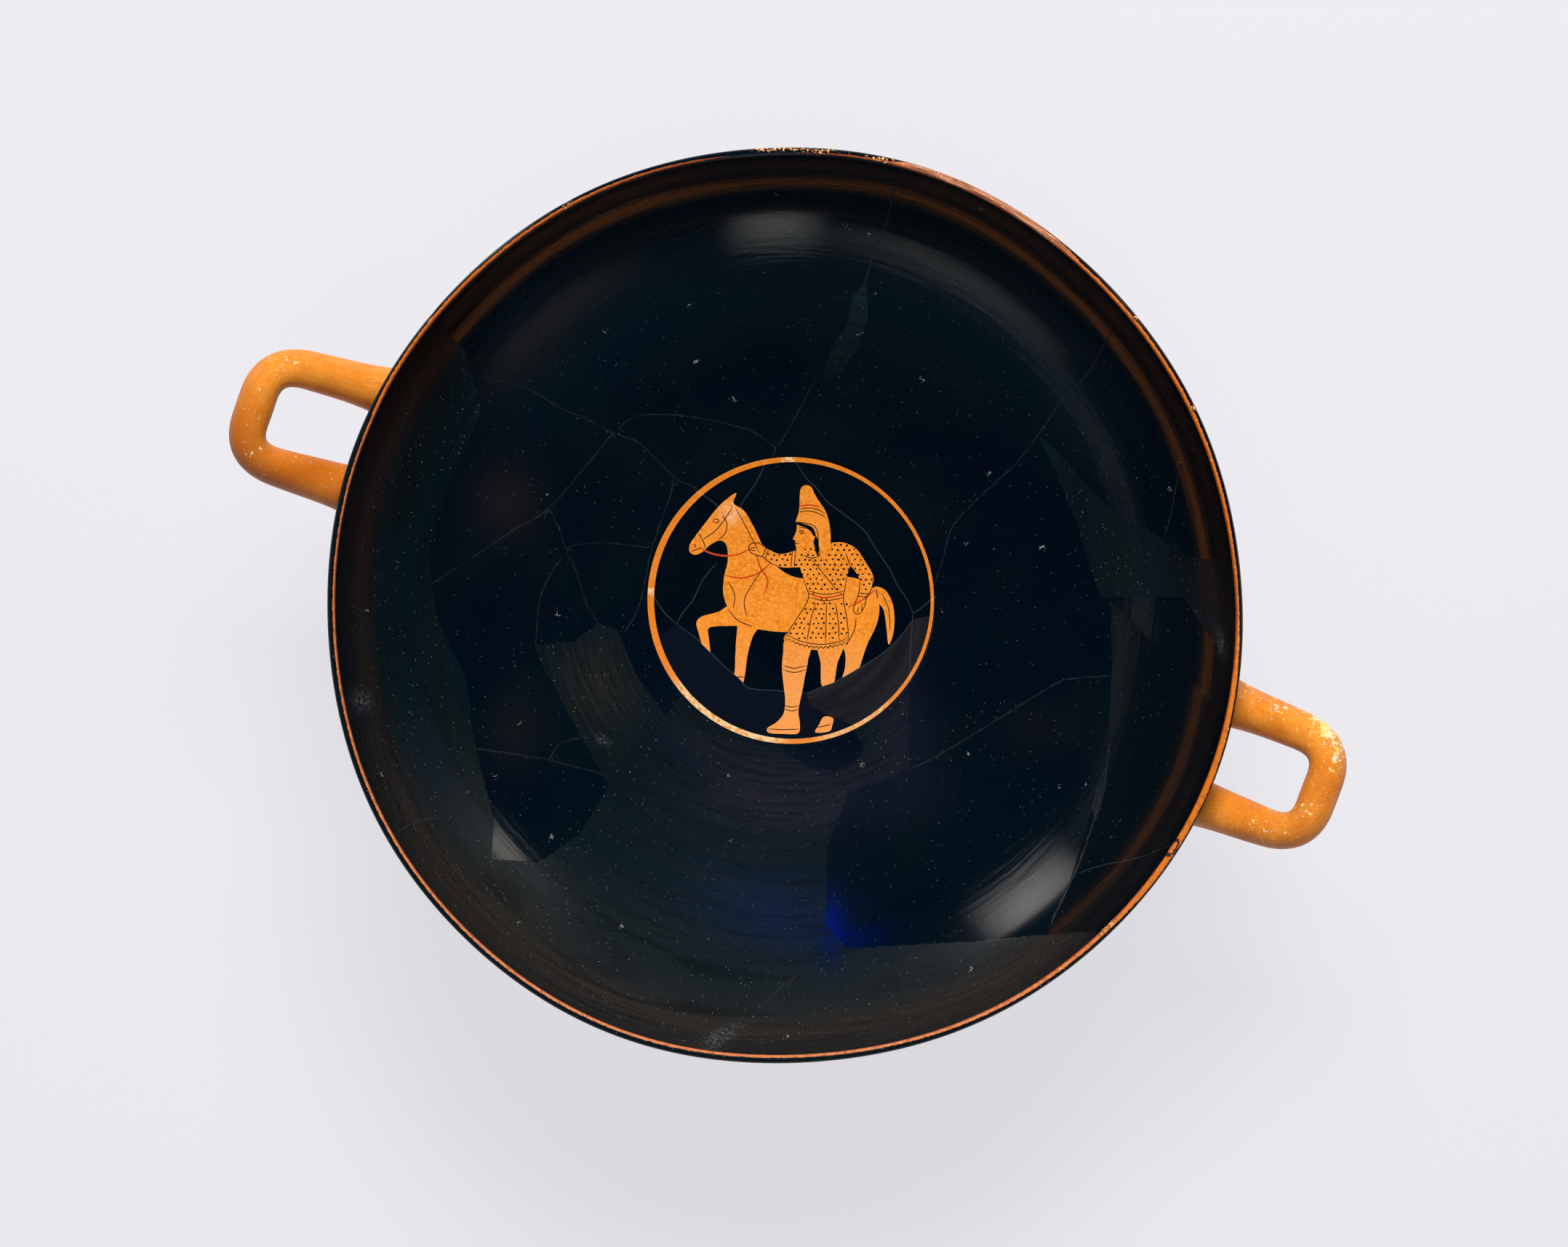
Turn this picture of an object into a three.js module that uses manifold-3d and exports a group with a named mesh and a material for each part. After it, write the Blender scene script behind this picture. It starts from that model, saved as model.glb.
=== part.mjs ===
// A Greek kylix: a wide, shallow drinking cup on a stem and a disc foot, with two squared loop
// handles. The potter throws the bowl and the foot, joins them, adds the two rolled handles and
// fires it all as one piece of clay, so the cup is one closed solid.
// Millimetres, +Z up. The origin is the centre of the ring the cup rests on, and +X points
// through the middle of one handle.

import * as THREE from 'three';
import { mergeVertices } from 'three/addons/utils/BufferGeometryUtils.js';
import Module from 'manifold-3d';

// Bowl: two half ellipses, one for each face of the wall, joined by a rounded lip
const RIM_RADIUS = 165;
const RIM_HEIGHT = 128;
const LIP_THICKNESS = 3;
const BOWL_DEPTH = 80; // from the top of the lip to the floor
const FLOOR_THICKNESS = 4;
const BOWL_SEGMENTS = 64;
const WALL_STEPS = 13;
const LIP_STEPS = 4;

// The wheel left the rim slightly out of round: [lobes, millimetres, degrees to the first lobe]
const RIM_LOBES = [
  [1, 0.35, 0],
  [3, 0.66, -6],
  [4, 0.55, -10.5],
  [8, 0.29, -0.6],
];
const LOBES_FADE_OUT = 56; // height at which the bowl is round again

// Foot and stem
const FOOT_RADIUS = 62;
const FOOT_EDGE = 6.8; // thickness of the rounded edge
const RESTING_RING_WIDTH = 4.8;
const HOLLOW_HEIGHT = 22; // the cone under the foot
const NECK_RADIUS = 13.6;
const NECK_HEIGHT = 33;
const STEM_TOP_RADIUS = 21.5; // where the stem runs out into the bowl

// Handles: a rolled bar bent to a squared loop that climbs from the wall to the height of the rim
const BAR_REACH = 203.8; // from the cup's axis to the middle of the cross bar
const BAR_RADIUS = 6.1;
const BAR_HEIGHT = 121.5;
const ROOT_REACH = 132; // the arms start inside the wall, which trims them
const ROOT_HEIGHT = 90;
const CLIMB_POWER = 1.35; // over 1, the arms climb faster towards the bar
const ROOT_FLARE = 3; // extra section radius where an arm passes under the rim
const FLARE_LENGTH = 16;
const WIDEST_FLARE = 4.4; // the same at the wall and inside it
const ROOT_SPREAD = 20; // half the distance between the arms' middles at their roots
const BAR_SPREAD = 17.5; // the same at the cross bar
const CORNER = 14;
const LOOP_STEPS = 33;
const LOOP_SIDES = 12;
// Each handle sits a little to one side, by a different amount at the wall and at its bar
const HANDLES = [
  { side: 1, rootShift: 2.6, barShift: 3 },
  { side: -1, rootShift: 6.4, barShift: 3.8 },
];

const GLAZE = { color: 0x12181f, roughness: 0.25, metalness: 0 };

const wasm = await Module();
wasm.setup();

// A closed manifold-3d solid from a three.js geometry, without the flat triangles at its poles
function toSolid(geometry) {
  geometry.deleteAttribute('normal');
  geometry.deleteAttribute('uv');
  const merged = mergeVertices(geometry, 1e-4);
  const triVerts = [];
  for (let i = 0; i < merged.index.count; i += 3) {
    const [a, b, c] = [0, 1, 2].map((corner) => merged.index.getX(i + corner));
    if (a !== b && b !== c && c !== a) triVerts.push(a, b, c);
  }
  return new wasm.Manifold(new wasm.Mesh({
    numProp: 3,
    vertProperties: new Float32Array(merged.attributes.position.array),
    triVerts: new Uint32Array(triVerts),
  }));
}

function toGeometry(solid) {
  const mesh = solid.getMesh();
  const geometry = new THREE.BufferGeometry();
  geometry.setAttribute('position', new THREE.BufferAttribute(mesh.vertProperties, 3));
  geometry.setIndex(new THREE.BufferAttribute(mesh.triVerts, 1));
  geometry.computeVertexNormals();
  return geometry;
}

// How far the rim stands outside the true circle in this direction
function rimOffset(angle) {
  return RIM_LOBES.reduce(
    (sum, [lobes, size, first]) =>
      sum + size * Math.cos(lobes * (angle - THREE.MathUtils.degToRad(first))),
    0,
  );
}

// A profile of (radius, height) points turned about the +Z axis, with the rim's lobes fading
// out down the bowl. The profile runs counter-clockwise, from the axis to the axis.
function turned(profile) {
  const geometry = new THREE.LatheGeometry(profile, BOWL_SEGMENTS);
  geometry.rotateX(Math.PI / 2);
  const position = geometry.attributes.position;
  for (let i = 0; i < position.count; i += 1) {
    const [x, y, z] = [position.getX(i), position.getY(i), position.getZ(i)];
    const radius = Math.hypot(x, y);
    if (radius > 0) {
      const fade = THREE.MathUtils.smoothstep(z, LOBES_FADE_OUT, RIM_HEIGHT);
      const scale = 1 + (fade * rimOffset(Math.atan2(y, x))) / radius;
      position.setXY(i, x * scale, y * scale);
    }
  }
  return toSolid(geometry);
}

// The middle of the lip's rounding, where both ellipses have their widest point
const LIP_HEIGHT = RIM_HEIGHT - LIP_THICKNESS / 2;

// Points on a bowl's half ellipse, from one radius to another
function ellipseArc(halfWidth, depth, fromRadius, toRadius, steps) {
  const start = Math.asin(fromRadius / halfWidth);
  const end = Math.asin(toRadius / halfWidth);
  return Array.from({ length: steps + 1 }, (_, i) => {
    const angle = start + ((end - start) * i) / steps;
    return new THREE.Vector2(
      halfWidth * Math.sin(angle),
      LIP_HEIGHT - depth * Math.cos(angle),
    );
  });
}

const outerDepth = BOWL_DEPTH - LIP_THICKNESS / 2 + FLOOR_THICKNESS;
const innerRadius = RIM_RADIUS - LIP_THICKNESS;
const innerDepth = BOWL_DEPTH - LIP_THICKNESS / 2;

function footProfile() {
  const edge = FOOT_EDGE / 2;
  const edgeMiddle = FOOT_RADIUS - edge;
  const ringInside = edgeMiddle - RESTING_RING_WIDTH;
  const hollow = new THREE.SplineCurve([
    new THREE.Vector2(0, HOLLOW_HEIGHT),
    new THREE.Vector2(NECK_RADIUS * 0.6, HOLLOW_HEIGHT * 0.88),
    new THREE.Vector2(ringInside * 0.55, HOLLOW_HEIGHT * 0.42),
    new THREE.Vector2(ringInside - 2.5, 2.6),
    new THREE.Vector2(ringInside, 0),
  ]).getPoints(6);
  const rounding = new THREE.EllipseCurve(
    edgeMiddle, edge, edge, edge, -Math.PI / 2, Math.PI / 2,
  ).getPoints(5);
  return [...hollow, ...rounding];
}

// The top of the foot sweeps up to the neck and out again into the underside of the bowl
function stemProfile() {
  const [bowlStart] = ellipseArc(RIM_RADIUS, outerDepth, STEM_TOP_RADIUS, RIM_RADIUS, 1);
  return new THREE.SplineCurve([
    new THREE.Vector2(FOOT_RADIUS - FOOT_EDGE / 2 - 1.2, FOOT_EDGE + 0.4),
    new THREE.Vector2(FOOT_RADIUS * 0.62, FOOT_EDGE + 3.6),
    new THREE.Vector2(FOOT_RADIUS * 0.36, FOOT_EDGE + 10),
    new THREE.Vector2(NECK_RADIUS + 1.2, NECK_HEIGHT - 6),
    new THREE.Vector2(NECK_RADIUS, NECK_HEIGHT),
    new THREE.Vector2(NECK_RADIUS + 2.2, NECK_HEIGHT + 7),
    bowlStart,
  ]).getPoints(13);
}

function cup() {
  const outside = ellipseArc(RIM_RADIUS, outerDepth, STEM_TOP_RADIUS, RIM_RADIUS, WALL_STEPS);
  const lip = new THREE.EllipseCurve(
    RIM_RADIUS - LIP_THICKNESS / 2, LIP_HEIGHT, LIP_THICKNESS / 2, LIP_THICKNESS / 2, 0, Math.PI,
  ).getPoints(LIP_STEPS);
  const inside = ellipseArc(innerRadius, innerDepth, 0, innerRadius, WALL_STEPS).reverse();
  return turned([
    ...footProfile(),
    ...stemProfile(),
    ...outside.slice(1),
    ...lip.slice(1, -1),
    ...inside,
  ]);
}

// The room inside the middle of the wall, which keeps the handles' roots out of the bowl
function bowlRoom() {
  const wall = ellipseArc(
    RIM_RADIUS - LIP_THICKNESS / 2,
    (outerDepth + innerDepth) / 2,
    0,
    RIM_RADIUS - LIP_THICKNESS / 2,
    WALL_STEPS,
  );
  return turned([...wall, new THREE.Vector2(0, LIP_HEIGHT)]);
}

// The loop's centre line: its squared plan from THREE.Path, with each point lifted as it
// gets further from the wall
function loopCurve({ rootShift, barShift }) {
  const cornerX = BAR_REACH - CORNER;
  const plan = new THREE.Path();
  plan.moveTo(ROOT_REACH, rootShift - ROOT_SPREAD);
  plan.lineTo(cornerX, barShift - BAR_SPREAD);
  plan.quadraticCurveTo(
    BAR_REACH, barShift - BAR_SPREAD, BAR_REACH, barShift - BAR_SPREAD + CORNER,
  );
  plan.lineTo(BAR_REACH, barShift + BAR_SPREAD - CORNER);
  plan.quadraticCurveTo(
    BAR_REACH, barShift + BAR_SPREAD, cornerX, barShift + BAR_SPREAD,
  );
  plan.lineTo(ROOT_REACH, rootShift + ROOT_SPREAD);
  const points = plan.getSpacedPoints(LOOP_STEPS).map(({ x, y }) => {
    const out = Math.max(0, x - ROOT_REACH) / (BAR_REACH - ROOT_REACH);
    const height = ROOT_HEIGHT + (BAR_HEIGHT - ROOT_HEIGHT) * out ** CLIMB_POWER;
    return new THREE.Vector3(x, y, height);
  });
  return new THREE.CatmullRomCurve3(points);
}

// A round bar along the curve, thicker near the wall, closed by a flat end at each root
function loop(handle) {
  const curve = loopCurve(handle);
  const { normals, binormals } = curve.computeFrenetFrames(LOOP_STEPS, false);
  const positions = [];
  const index = [];
  for (let i = 0; i <= LOOP_STEPS; i += 1) {
    const centre = curve.getPoint(i / LOOP_STEPS);
    const flare = ROOT_FLARE * Math.exp((RIM_RADIUS - LIP_THICKNESS - centre.x) / FLARE_LENGTH);
    const radius = BAR_RADIUS + Math.min(flare, WIDEST_FLARE);
    for (let k = 0; k < LOOP_SIDES; k += 1) {
      const angle = (2 * Math.PI * k) / LOOP_SIDES;
      const point = centre.clone()
        .addScaledVector(normals[i], radius * Math.cos(angle))
        .addScaledVector(binormals[i], radius * Math.sin(angle));
      positions.push(...point.toArray());
      const next = (k + 1) % LOOP_SIDES;
      if (i < LOOP_STEPS) {
        const [here, beyond] = [i * LOOP_SIDES, (i + 1) * LOOP_SIDES];
        index.push(here + k, here + next, beyond + next, here + k, beyond + next, beyond + k);
      }
    }
  }
  const lastRing = LOOP_STEPS * LOOP_SIDES;
  for (let k = 1; k < LOOP_SIDES - 1; k += 1) {
    index.push(0, k + 1, k, lastRing, lastRing + k, lastRing + k + 1);
  }
  const geometry = new THREE.BufferGeometry();
  geometry.setAttribute('position', new THREE.Float32BufferAttribute(positions, 3));
  geometry.setIndex(index);
  if (handle.side < 0) geometry.rotateZ(Math.PI);
  return toSolid(geometry);
}

// Turning a handle to the other side also turns its shifts, so they are given a sign here
const room = bowlRoom();
const kylix = HANDLES.reduce(
  (body, { side, rootShift, barShift }) => {
    const handle = loop({ side, rootShift: side * rootShift, barShift: side * barShift });
    return body.add(handle.subtract(room));
  },
  cup(),
);

const group = new THREE.Group();
const mesh = new THREE.Mesh(toGeometry(kylix), new THREE.MeshStandardMaterial(GLAZE));
mesh.name = 'kylix';
group.add(mesh);

export default group;
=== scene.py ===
import bpy
import numpy as np
from mathutils import Matrix, Vector
from mathutils.geometry import delaunay_2d_cdt


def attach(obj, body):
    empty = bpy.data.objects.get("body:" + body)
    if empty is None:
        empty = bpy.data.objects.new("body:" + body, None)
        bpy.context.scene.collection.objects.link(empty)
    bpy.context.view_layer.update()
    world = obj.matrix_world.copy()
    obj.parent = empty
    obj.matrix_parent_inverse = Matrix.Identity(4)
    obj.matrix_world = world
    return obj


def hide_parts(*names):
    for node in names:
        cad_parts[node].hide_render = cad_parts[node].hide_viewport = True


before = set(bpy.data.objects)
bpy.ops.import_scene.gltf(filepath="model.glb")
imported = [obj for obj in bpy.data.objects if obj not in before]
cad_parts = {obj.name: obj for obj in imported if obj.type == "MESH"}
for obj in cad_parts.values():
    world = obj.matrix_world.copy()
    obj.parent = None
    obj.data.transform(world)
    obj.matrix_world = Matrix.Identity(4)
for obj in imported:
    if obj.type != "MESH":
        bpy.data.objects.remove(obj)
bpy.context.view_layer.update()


# ---------------------------------------------------------------------------------------
# THE VIEW. The cup stands on a pale table and is seen from almost straight above, with a
# long lens, so that the painted picture in its floor stands upright. That turns the line
# of the two handles, which is the X axis, a little down to the right.
# ---------------------------------------------------------------------------------------

MM = 0.001                       # every size below is in millimetres until it goes in a mesh
PICTURE_TURN = np.radians(19.8)  # from the line of the handles to the level of the picture
LIP_HEIGHT = 126.5               # height at which both walls stop and the round lip begins
CAMERA_DISTANCE = 1563.1
CAMERA_LEAN = (0.0454, 0.0456)   # towards the picture's right and its top, per unit of height
CAMERA_SHIFT = (0.9, -5.2)       # how far the middle of the view is from the rim's centre

picture_right = np.array([np.cos(PICTURE_TURN), np.sin(PICTURE_TURN), 0.0])
picture_up = np.array([-np.sin(PICTURE_TURN), np.cos(PICTURE_TURN), 0.0])
back = picture_right * CAMERA_LEAN[0] + picture_up * CAMERA_LEAN[1] + np.array([0, 0, 1.0])
back /= np.linalg.norm(back)
across = picture_right - back * (picture_right @ back)
across /= np.linalg.norm(across)
upwards = np.cross(back, across)
stand = (np.array([0, 0, LIP_HEIGHT]) + back * CAMERA_DISTANCE
         + across * CAMERA_SHIFT[0] + upwards * CAMERA_SHIFT[1]) * MM


def in_scene(name, data):
    """A new object that shows the data, linked to the scene."""
    made = bpy.data.objects.new(name, data)
    bpy.context.scene.collection.objects.link(made)
    return made


lens = bpy.data.cameras.new("long_lens")
lens.lens = 100
lens.sensor_width = 36
lens.clip_start, lens.clip_end = 0.05, 60
camera = in_scene("camera", lens)
camera.matrix_world = Matrix(np.column_stack([across, upwards, back, stand]).tolist() + [[0, 0, 0, 1]])
bpy.context.scene.camera = camera
bpy.context.scene.view_settings.view_transform = "Standard"


# ---------------------------------------------------------------------------------------
# THE CUP. A wide shallow bowl on a stem and a spreading foot, thrown in fine red clay and
# coated inside and out with black gloss. It was broken and glued together again, and the
# lost parts are filled and painted a duller black.
# ---------------------------------------------------------------------------------------

RIM_RADIUS = 165.0
LIP_THICKNESS = 3.0
BOWL_DEPTH = 80.0
FLOOR_THICKNESS = 4.0
INNER_RADIUS, INNER_DEPTH = RIM_RADIUS - LIP_THICKNESS, BOWL_DEPTH - 1.5
OUTER_RADIUS, OUTER_DEPTH = RIM_RADIUS, BOWL_DEPTH + FLOOR_THICKNESS - 1.5
SIDE_FROM = 90.0                 # radius where the rows of the bowl's side begin
RIM_LOBES = [(1, 0.35, 0), (3, 0.66, -6), (4, 0.55, -10.5), (8, 0.29, -0.6)]  # count, mm, degrees
LOBE_START, LOBE_END = 56.0, 128.0
FOOT_RADIUS, FOOT_EDGE = 62.0, 6.8
RESTING_RING_WIDTH = 4.8
HOLLOW_HEIGHT = 22.0
NECK_RADIUS, NECK_HEIGHT = 13.6, 33.0
STEM_TOP_RADIUS = 21.5
PICTURE_RADIUS = 54.6            # the disc of wall that carries the picture is a piece of its own
PICTURE_SEAT = 0.35              # depth of the seat left for it, so that it lies flush
AROUND = 360                     # points in a row round the cup: twice as many at the rim, half at the foot


def curve_through(points, steps, closed=False):
    """A Catmull-Rom curve: between two points, the cubic that leaves each of them along the line
    that joins its neighbours. steps points are worked out for each span."""
    p = np.asarray(points, float)
    if closed:
        a, b, c, d = np.roll(p, 1, 0), p, np.roll(p, -1, 0), np.roll(p, -2, 0)
    else:
        ends = np.vstack([2 * p[0] - p[1], p, 2 * p[-1] - p[-2]])
        a, b, c, d = ends[:-3], ends[1:-2], ends[2:-1], ends[3:]
    t = (np.arange(steps) / steps)[None, :, None]
    a, b, c, d = (k[:, None, :] for k in (a, b, c, d))
    out = 0.5 * (2 * b + (c - a) * t + (2 * a - 5 * b + 4 * c - d) * t**2
                 + (3 * b - a - 3 * c + d) * t**3)
    out = out.reshape(-1, p.shape[1])
    return out if closed else np.vstack([out, p[-1:]])


def evenly(path, spacing):
    """The same path with points at equal distances along it, about spacing apart."""
    path = np.asarray(path, float)
    along = np.concatenate([[0], np.cumsum(np.linalg.norm(np.diff(path, axis=0), axis=1))])
    stops = np.linspace(0, along[-1], max(2, int(round(along[-1] / spacing)) + 1))
    return np.column_stack([np.interp(stops, along, path[:, k]) for k in range(path.shape[1])])


def wall(radius, depth, low, high):
    """Half of an ellipse whose centre is at the height of the lip: radius x sin(t) out, and
    depth x cos(t) down, from t = low to t = high."""
    t = np.linspace(low, high, 600)
    return np.column_stack([radius * np.sin(t), LIP_HEIGHT - depth * np.cos(t)])


def lobes(angle):
    """How far the rim stands out of a true circle: a sum of cosines with few lobes."""
    return sum(size * np.cos(count * (angle - np.radians(first))) for count, size, first in RIM_LOBES)


def turned(profile, columns):
    """The profile carried round the axis: at each angle the lobes move it out, more towards the rim
    by a smooth step in height. Gives rows x columns x 3 points in millimetres."""
    angle = np.arange(columns) * 2 * np.pi / columns
    rise = np.clip((profile[:, 1] - LOBE_START) / (LOBE_END - LOBE_START), 0, 1)
    rise = rise**2 * (3 - 2 * rise)
    radius = profile[:, :1] + rise[:, None] * lobes(angle)[None, :]
    height = np.broadcast_to(profile[:, 1:], radius.shape)
    return np.stack([radius * np.cos(angle), radius * np.sin(angle), height], axis=-1)


def band_faces(start, rows, columns):
    """Four-sided faces between rows of a closed band whose points are numbered row by row."""
    i = np.arange(rows - 1)[:, None] * columns
    j = np.arange(columns)[None, :]
    k = (j + 1) % columns
    return (start + np.stack([i + j, i + k, i + columns + k, i + columns + j], -1)).reshape(-1, 4)


def halving_faces(fine, coarse, columns, fine_first):
    """Faces from a row of 2 x columns points to a row of columns points: a four-sided face and a
    triangle for every pair, turned the same way as the bands'."""
    j = np.arange(columns)
    k = (j + 1) % columns
    f0, f1, f2 = fine + 2 * j, fine + 2 * j + 1, fine + (2 * j + 2) % (2 * columns)
    c0, c1 = coarse + j, coarse + k
    quads, triangles = np.stack([f0, f1, c1, c0], -1), np.stack([f1, f2, c1], -1)
    if not fine_first:
        quads, triangles = quads[:, ::-1], triangles[:, ::-1]
    return quads.tolist() + triangles.tolist()


def fan_faces(start, columns, pole, forwards):
    """Triangles from a closed row of points to the one point that closes it, turned either way."""
    j = np.arange(columns)
    k = (j + 1) % columns
    a, b = (j, k) if forwards else (k, j)
    return np.stack([start + a, start + b, np.full(columns, pole)], -1).tolist()


def mesh_piece(name, points, faces, marks, domain="POINT", normals=None):
    """A smooth mesh object at the origin from points in millimetres. marks are its attributes, each
    with a value for every point or face, and normals the exact directions for the shading."""
    mesh = bpy.data.meshes.new(name)
    mesh.from_pydata((np.asarray(points) * MM).tolist(), [], faces)
    for label, data in marks.items():
        attribute = mesh.attributes.new(label, "FLOAT", domain)
        attribute.data.foreach_set("value", np.asarray(data, np.float32))
    mesh.polygons.foreach_set("use_smooth", np.ones(len(mesh.polygons), bool))
    if normals is not None:
        mesh.normals_split_custom_set_from_vertices(np.asarray(normals).tolist())
    mesh.update()
    return in_scene(name, mesh)


picture_edge = np.arcsin(PICTURE_RADIUS / INNER_RADIUS)
seat_edge = np.arcsin((PICTURE_RADIUS - 0.4) / INNER_RADIUS)
side_start = np.arcsin(SIDE_FROM / INNER_RADIUS)
stem_top = np.arcsin(STEM_TOP_RADIUS / OUTER_RADIUS)
half_turn = np.linspace(np.pi, 0, 9)[1:-1]
ring_outer = FOOT_RADIUS - FOOT_EDGE / 2
ring_inner = ring_outer - RESTING_RING_WIDTH
foot_edge = np.linspace(-np.pi / 2, np.pi / 2, 13)

seat = wall(INNER_RADIUS, INNER_DEPTH, 0.004, seat_edge)[::100] - np.array([0, PICTURE_SEAT])
floor_and_side = evenly(wall(INNER_RADIUS, INNER_DEPTH, picture_edge, side_start), 1.5)
side = evenly(wall(INNER_RADIUS, INNER_DEPTH, side_start, np.pi / 2), 1.55)
lip = np.column_stack([RIM_RADIUS - LIP_THICKNESS / 2 + LIP_THICKNESS / 2 * np.cos(half_turn),
                       LIP_HEIGHT + LIP_THICKNESS / 2 * np.sin(half_turn)])
outside = evenly(wall(OUTER_RADIUS, OUTER_DEPTH, stem_top, np.pi / 2)[::-1], 3.6)
stem = evenly(curve_through([outside[-1], (15.8, 40), (NECK_RADIUS, NECK_HEIGHT), (14.8, 27),
                             (0.36 * FOOT_RADIUS, 16.8), (0.62 * FOOT_RADIUS, 10.4),
                             (ring_outer - 1.2, FOOT_EDGE + 0.4), (ring_outer, FOOT_EDGE)], 16), 1.9)[1:-1]
edge = np.column_stack([ring_outer + FOOT_EDGE / 2 * np.cos(foot_edge[::-1]),
                        FOOT_EDGE / 2 + FOOT_EDGE / 2 * np.sin(foot_edge[::-1])])
under = evenly(curve_through([(ring_inner, 0), (ring_inner - 2.5, 2.6),
                              (0.55 * ring_inner, 0.42 * HOLLOW_HEIGHT),
                              (0.6 * NECK_RADIUS, 0.88 * HOLLOW_HEIGHT), (0.5, HOLLOW_HEIGHT)], 16), 2.4)

parts = [(seat, AROUND), (floor_and_side, AROUND), (side[1:], 2 * AROUND), (lip, 2 * AROUND),
         (outside[:3], 2 * AROUND), (outside[3:], AROUND), (stem, AROUND // 2), (edge, AROUND // 2),
         (under, AROUND // 2)]
points, faces, start = [], [], 0
for number, (profile, columns) in enumerate(parts):
    faces += band_faces(start, len(profile), columns).tolist()
    if number:
        before = parts[number - 1][1]
        last = start - before
        if before == columns:
            faces += band_faces(last, 2, columns).tolist()
        elif before > columns:
            faces += halving_faces(last, start, columns, True)
        else:
            faces += halving_faces(start, last, before, False)
    points.append(turned(profile, columns).reshape(-1, 3))
    start += len(profile) * columns
points = np.vstack(points + [np.array([[0, 0, seat[0, 1]], [0, 0, HOLLOW_HEIGHT]])])
faces += fan_faces(0, AROUND, start, False)
faces += fan_faces(start - AROUND // 2, AROUND // 2, start + 1, True)

# Where the sherds join, on the plan of the bowl seen from above with the picture upright.
JOINS = [
    [(-112, 84), (-97, 80), (-86, 73), (-77, 69), (-66, 63)],
    [(-66, 63), (-58, 69), (-47, 70), (-36, 69), (-22, 66), (-13, 63), (-5, 57)],
    [(-66, 63), (-56, 59), (-44, 47), (-35, 42)],
    [(-66, 63), (-75, 52), (-90, 35), (-101, 28), (-116, 18), (-131, 8)],
    [(-90, 35), (-86, 27), (-84, 19)],
    [(-84, 19), (-81, 21), (-70, 22), (-54, 20)],
    [(-84, 19), (-93, 3), (-95, -15)],
    [(-84, 19), (-80, 11), (-77, 0), (-73, -7)],
    [(-44, 47), (-45, 40), (-52, 20), (-57, -2), (-62, -11)],
    [(44, 158), (40, 150), (37, 140), (32, 129), (29, 119)],
    [(9, 82), (5, 74), (1, 67), (-5, 57), (-9, 50)],
    [(118, 98), (110, 84), (102, 76), (94, 64), (84, 51), (72, 40), (61, 28), (57, 15), (54, 5)],
    [(118, -27), (109, -28), (100, -30), (81, -42), (57, -57), (45, -63)],
    [(-116, -54), (-105, -56), (-90, -59), (-69, -65)],
    [(-90, -59), (-86, -53), (-79, -51)],
    [(4, -137), (-3, -142), (-11, -150)],
    [(119, -50), (118, -60), (114, -76), (109, -91), (104, -102), (97, -116)],
]
HAIRLINES = [
    [(145, -83), (140, -85), (129, -91), (116, -95), (108, -98)],
    [(-72, 144), (-56, 139), (-42, 134), (-30, 138), (-15, 143)],
    [(143, 47), (141, 34), (139, 26)],
    [(-141, -82), (-136, -79), (-129, -78)],
]
FAR = 210                       # outlines of fills that reach the rim are closed beyond it
LOST_SIDE = [(-127, 103), (-117, 94), (-113, 71), (-126, 44), (-133, 18), (-130, -6), (-120, -28),
             (-116, -54), (-109, -80), (-109, -94), (-92, -96), (-78, -86), (-68, -69), (-79, -49),
             (-93, -23), (-95, -16), (-81, -15), (-72, -8), (-65, -11), (-58, -28), (-47, -44), (-40, -34),
             (0, 0), (50, -2), (45, -30), (44, -53), (45, -63), (22, -72), (14, -92), (14, -120),
             (22, -128), (72, -124), (96, -120), (117, -116), (FAR, -FAR), (-FAR, -FAR), (-FAR, 150)]
KEPT_SHERD = [(-6, -48), (-5, -54), (0, -59), (8, -63), (17, -64), (25, -60), (28, -55), (22, -46)]
LOST_EDGE = [(92, 62), (99, 49), (107, 30), (112, 13), (116, 2), (127, 2), (145, 3), (152, -7), (162, -22),
             (FAR, -26), (FAR, 15), (162, 16), (146, 18), (136, 25), (119, 35), (110, 44), (100, 56)]
DULL_SHERD = [(119, 1), (120, -22), (119, -42), (118, -60), (111, -80), (102, -108), (96, -120),
              (FAR, -FAR), (FAR, 0)]
LOST_SLIP = [(118.6, -54), (117.6, -68), (113.4, -81), (112.4, -74), (114.6, -66)]
LOST_LEAF = [(29, 119), (30, 107), (26, 95), (20, 86), (12, 82), (14, 88), (16, 95), (22, 103), (24, 113)]


def nearest(places, line, closed=False):
    """For each place, its distance to a line of straight pieces, and which side of it the place is
    on: plus on the left of the piece that is nearest."""
    a = np.asarray(line, float)
    b = np.roll(a, -1, 0) if closed else a[1:]
    a = a if closed else a[:-1]
    reach, side = np.full(len(places), 1e6), np.ones(len(places))
    for p, q in zip(a, b):
        d, w = q - p, places - p
        along = np.clip(w @ d / (d @ d), 0, 1)
        gap = np.linalg.norm(w - along[:, None] * d, axis=1)
        closer = gap < reach
        reach[closer] = gap[closer]
        side[closer] = np.sign(d[0] * w[closer, 1] - d[1] * w[closer, 0])
    return reach, side


def inside_of(places, outline):
    """True where a place is inside a closed outline: a ray to the right crosses it an odd number
    of times."""
    odd = np.zeros(len(places), bool)
    for (x0, y0), (x1, y1) in zip(outline, np.roll(outline, -1, 0)):
        if y0 != y1:
            meets = (places[:, 1] > min(y0, y1)) & (places[:, 1] <= max(y0, y1))
            odd ^= meets & (places[:, 0] < x0 + (places[:, 1] - y0) * (x1 - x0) / (y1 - y0))
    return odd


def depth_in(places, outline):
    """Distance to a closed outline in millimetres, minus inside it."""
    reach, _ = nearest(places, outline, closed=True)
    return np.where(inside_of(places, np.asarray(outline, float)), -reach, reach)


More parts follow.
